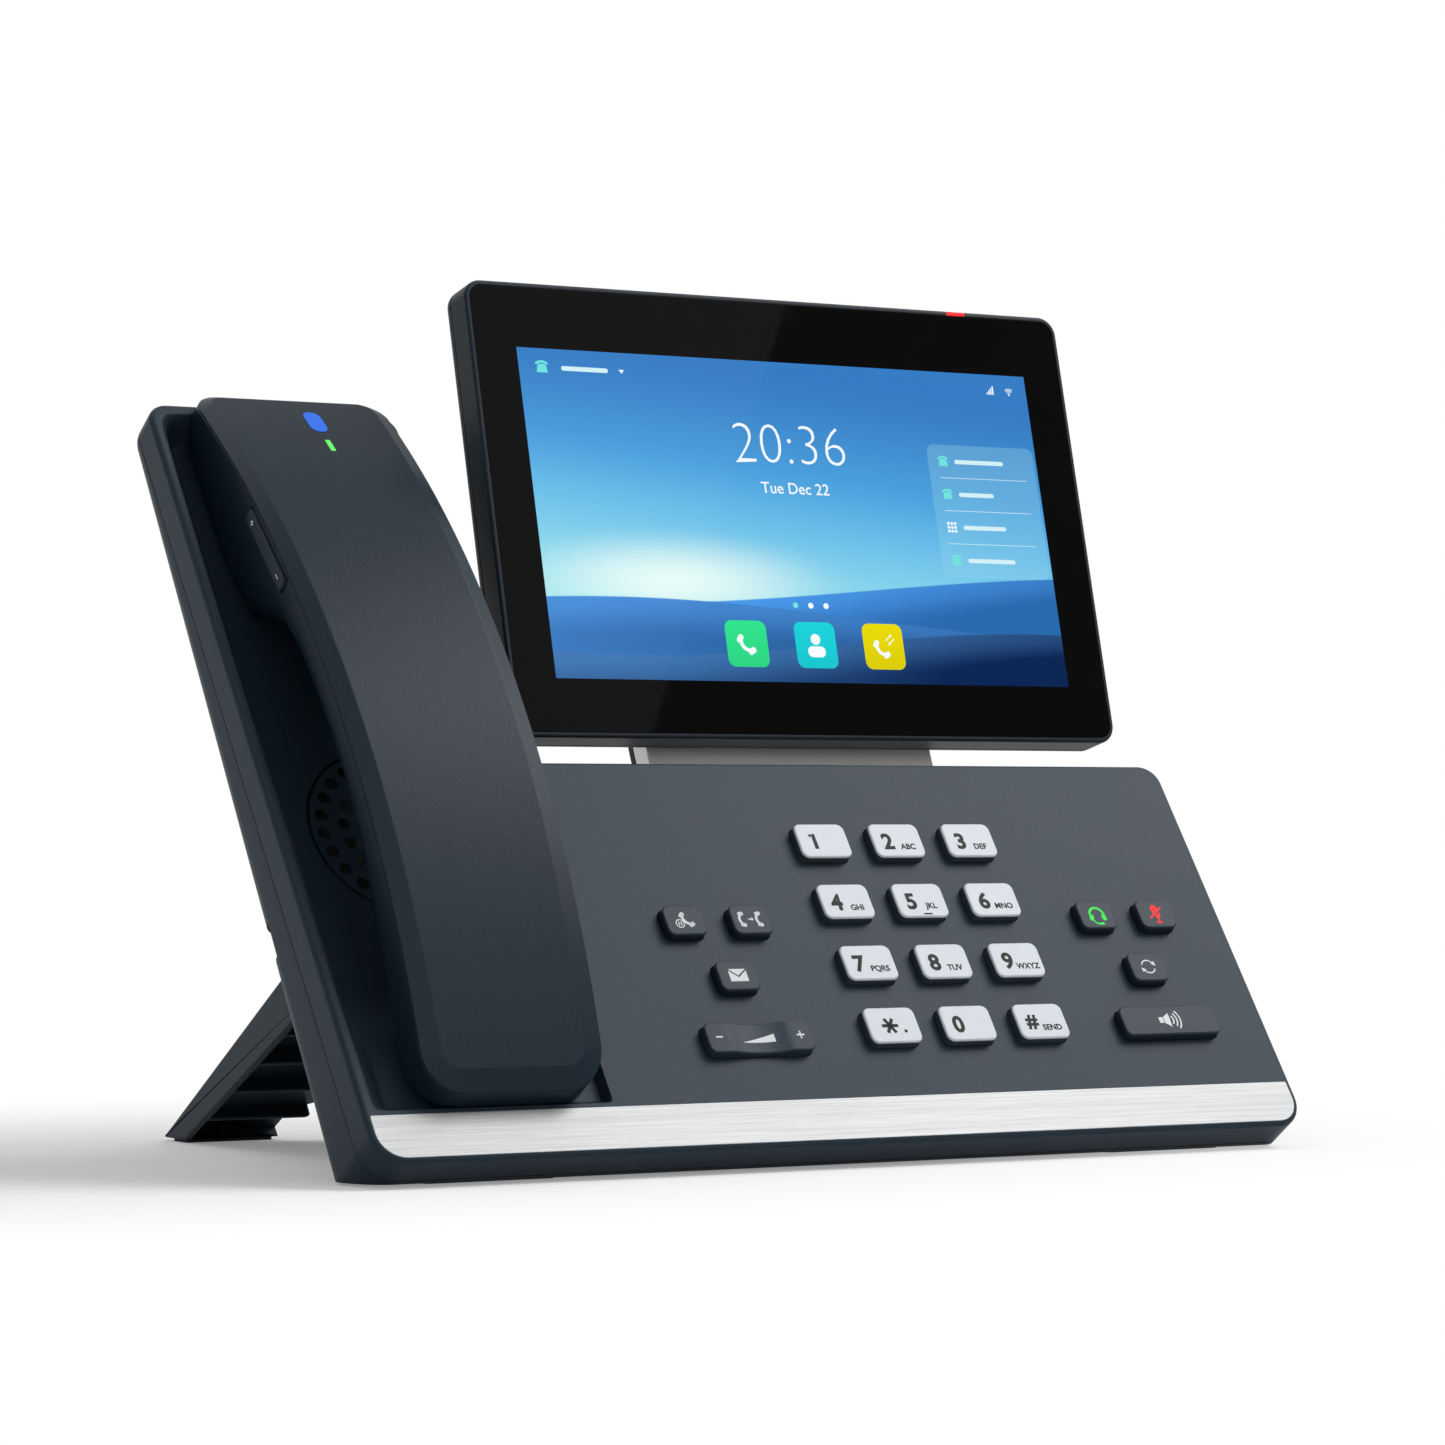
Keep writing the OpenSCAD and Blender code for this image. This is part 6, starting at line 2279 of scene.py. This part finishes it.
class Studio:
    """Camera, floor, lamps and surroundings."""

    camera_place = (-0.59530, -1.00304, 0.08270)
    camera_turn = (91.152, 0.0, -31.157)
    lens = 115.79
    fill = 0.26
    floor_half = 4.0
    floor_colour = (0.82, 0.82, 0.82, 1.0)
    floor_lift = 0.22
    fade = (0.14, 0.35)
    lamps = (
        Lamp("key_lamp", (0.95, -0.35, 1.25), (0.0, 0.0, 0.08), 0.8, 16.0),
        Lamp("top_lamp", (-0.15, 0.55, 1.5), (0.0, 0.0, 0.1), 1.0, 4.5),
        Lamp("gloss_card", (0.178, -0.767, 0.759), (-0.352, -0.049, 0.308), 0.75, 6.0, 1.3, -33.5,
             True),
    )

    def camera(self) -> None:
        """Makes the camera."""
        data = bpy.data.cameras.new("camera")
        data.lens = self.lens
        data.sensor_width = 36.0
        data.clip_start = 0.01
        item = linked("camera", data)
        item.location = self.camera_place
        item.rotation_euler = [math.radians(a) for a in self.camera_turn]
        bpy.context.scene.camera = item

    def lighting(self) -> None:
        """Makes the lamps."""
        for lamp in self.lamps:
            data = bpy.data.lights.new(lamp.name, "AREA")
            data.shape = "RECTANGLE"
            data.size, data.size_y = lamp.width, lamp.height or lamp.width
            data.energy = lamp.power
            item = linked(lamp.name, data)
            item.location = lamp.place
            item.visible_camera = False
            aim = (Vector(lamp.aim) - Vector(lamp.place)).to_track_quat("-Z", "Y")
            spin = Matrix.Rotation(math.radians(lamp.spin), 3, "Z").to_quaternion()
            item.rotation_euler = (aim @ spin).to_euler()
            item.visible_diffuse = not lamp.shine_only

    def surroundings(self) -> None:
        """Makes a world that is white where it is seen or mirrored, and softer as light."""
        world = bpy.data.worlds.new("room")
        world.use_nodes = True
        bpy.context.scene.world = world
        graph = Graph(world.node_tree)
        strength = graph.seen() * (1.0 - self.fill) + self.fill
        back = graph.add("ShaderNodeBackground", None, {"Color": WHITE, "Strength": strength})
        out = graph.add("ShaderNodeOutputWorld")
        graph.tree.links.new(back.outputs[0], out.inputs[0])

    def floor(self) -> None:
        """Makes a pale floor that keeps the soft shadow and turns white away from it."""
        mesh = bpy.data.meshes.new("floor")
        far = self.floor_half
        mesh.from_pydata([(-far, -far, 0), (far, -far, 0), (far, far, 0), (-far, far, 0)], [],
                         [(0, 1, 2, 3)])
        item = linked("floor", mesh)
        made = bpy.data.materials.new("pale floor")
        made.use_nodes = True
        graph = Graph(made.node_tree)
        x, y = graph.plane("Object")
        away = (((x + 0.06) ** 2.0 * 0.7 + (y - 0.04) ** 2.0 * 2.2) ** 0.5).ramp(*self.fade)
        seen = graph.seen()
        matt = graph.add("ShaderNodeBsdfDiffuse", None, {"Color": self.floor_colour})
        lift, white = (graph.add("ShaderNodeEmission", None, {"Color": WHITE, "Strength": strength})
                       for strength in (seen * self.floor_lift, 1.0))
        both = graph.add("ShaderNodeAddShader", None, {0: matt.outputs[0], 1: lift.outputs[0]})
        mixed = graph.add("ShaderNodeMixShader", None, {
            0: away * seen, 1: both.outputs[0], 2: white.outputs[0]})
        out = graph.add("ShaderNodeOutputMaterial")
        graph.tree.links.new(mixed.outputs[0], out.inputs[0])
        mesh.materials.append(made)
        item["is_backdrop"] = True

    def build(self) -> None:
        """Builds the studio."""
        self.camera()
        self.lighting()
        self.surroundings()
        self.floor()
        bpy.context.scene.view_settings.view_transform = "Standard"


# ---- Scene ----


def corners() -> list[list[float]]:
    """Lowest and highest corner of what shows, as plain numbers."""
    return [[float(value) for value in corner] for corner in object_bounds()]


def main() -> None:
    """Builds the phone over its frame, then the studio."""
    logging.basicConfig(level=logging.INFO, format="%(name)s: %(message)s", stream=sys.stdout)
    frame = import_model()
    layout = Layout()
    Studio().build()
    keypad = Keypad(frame, layout)
    Base(frame, layout).build(keypad.spots())
    keypad.build()
    Screen(frame, layout).build()
    Handset(frame, layout).build()


if __name__ == "__main__":
    main()
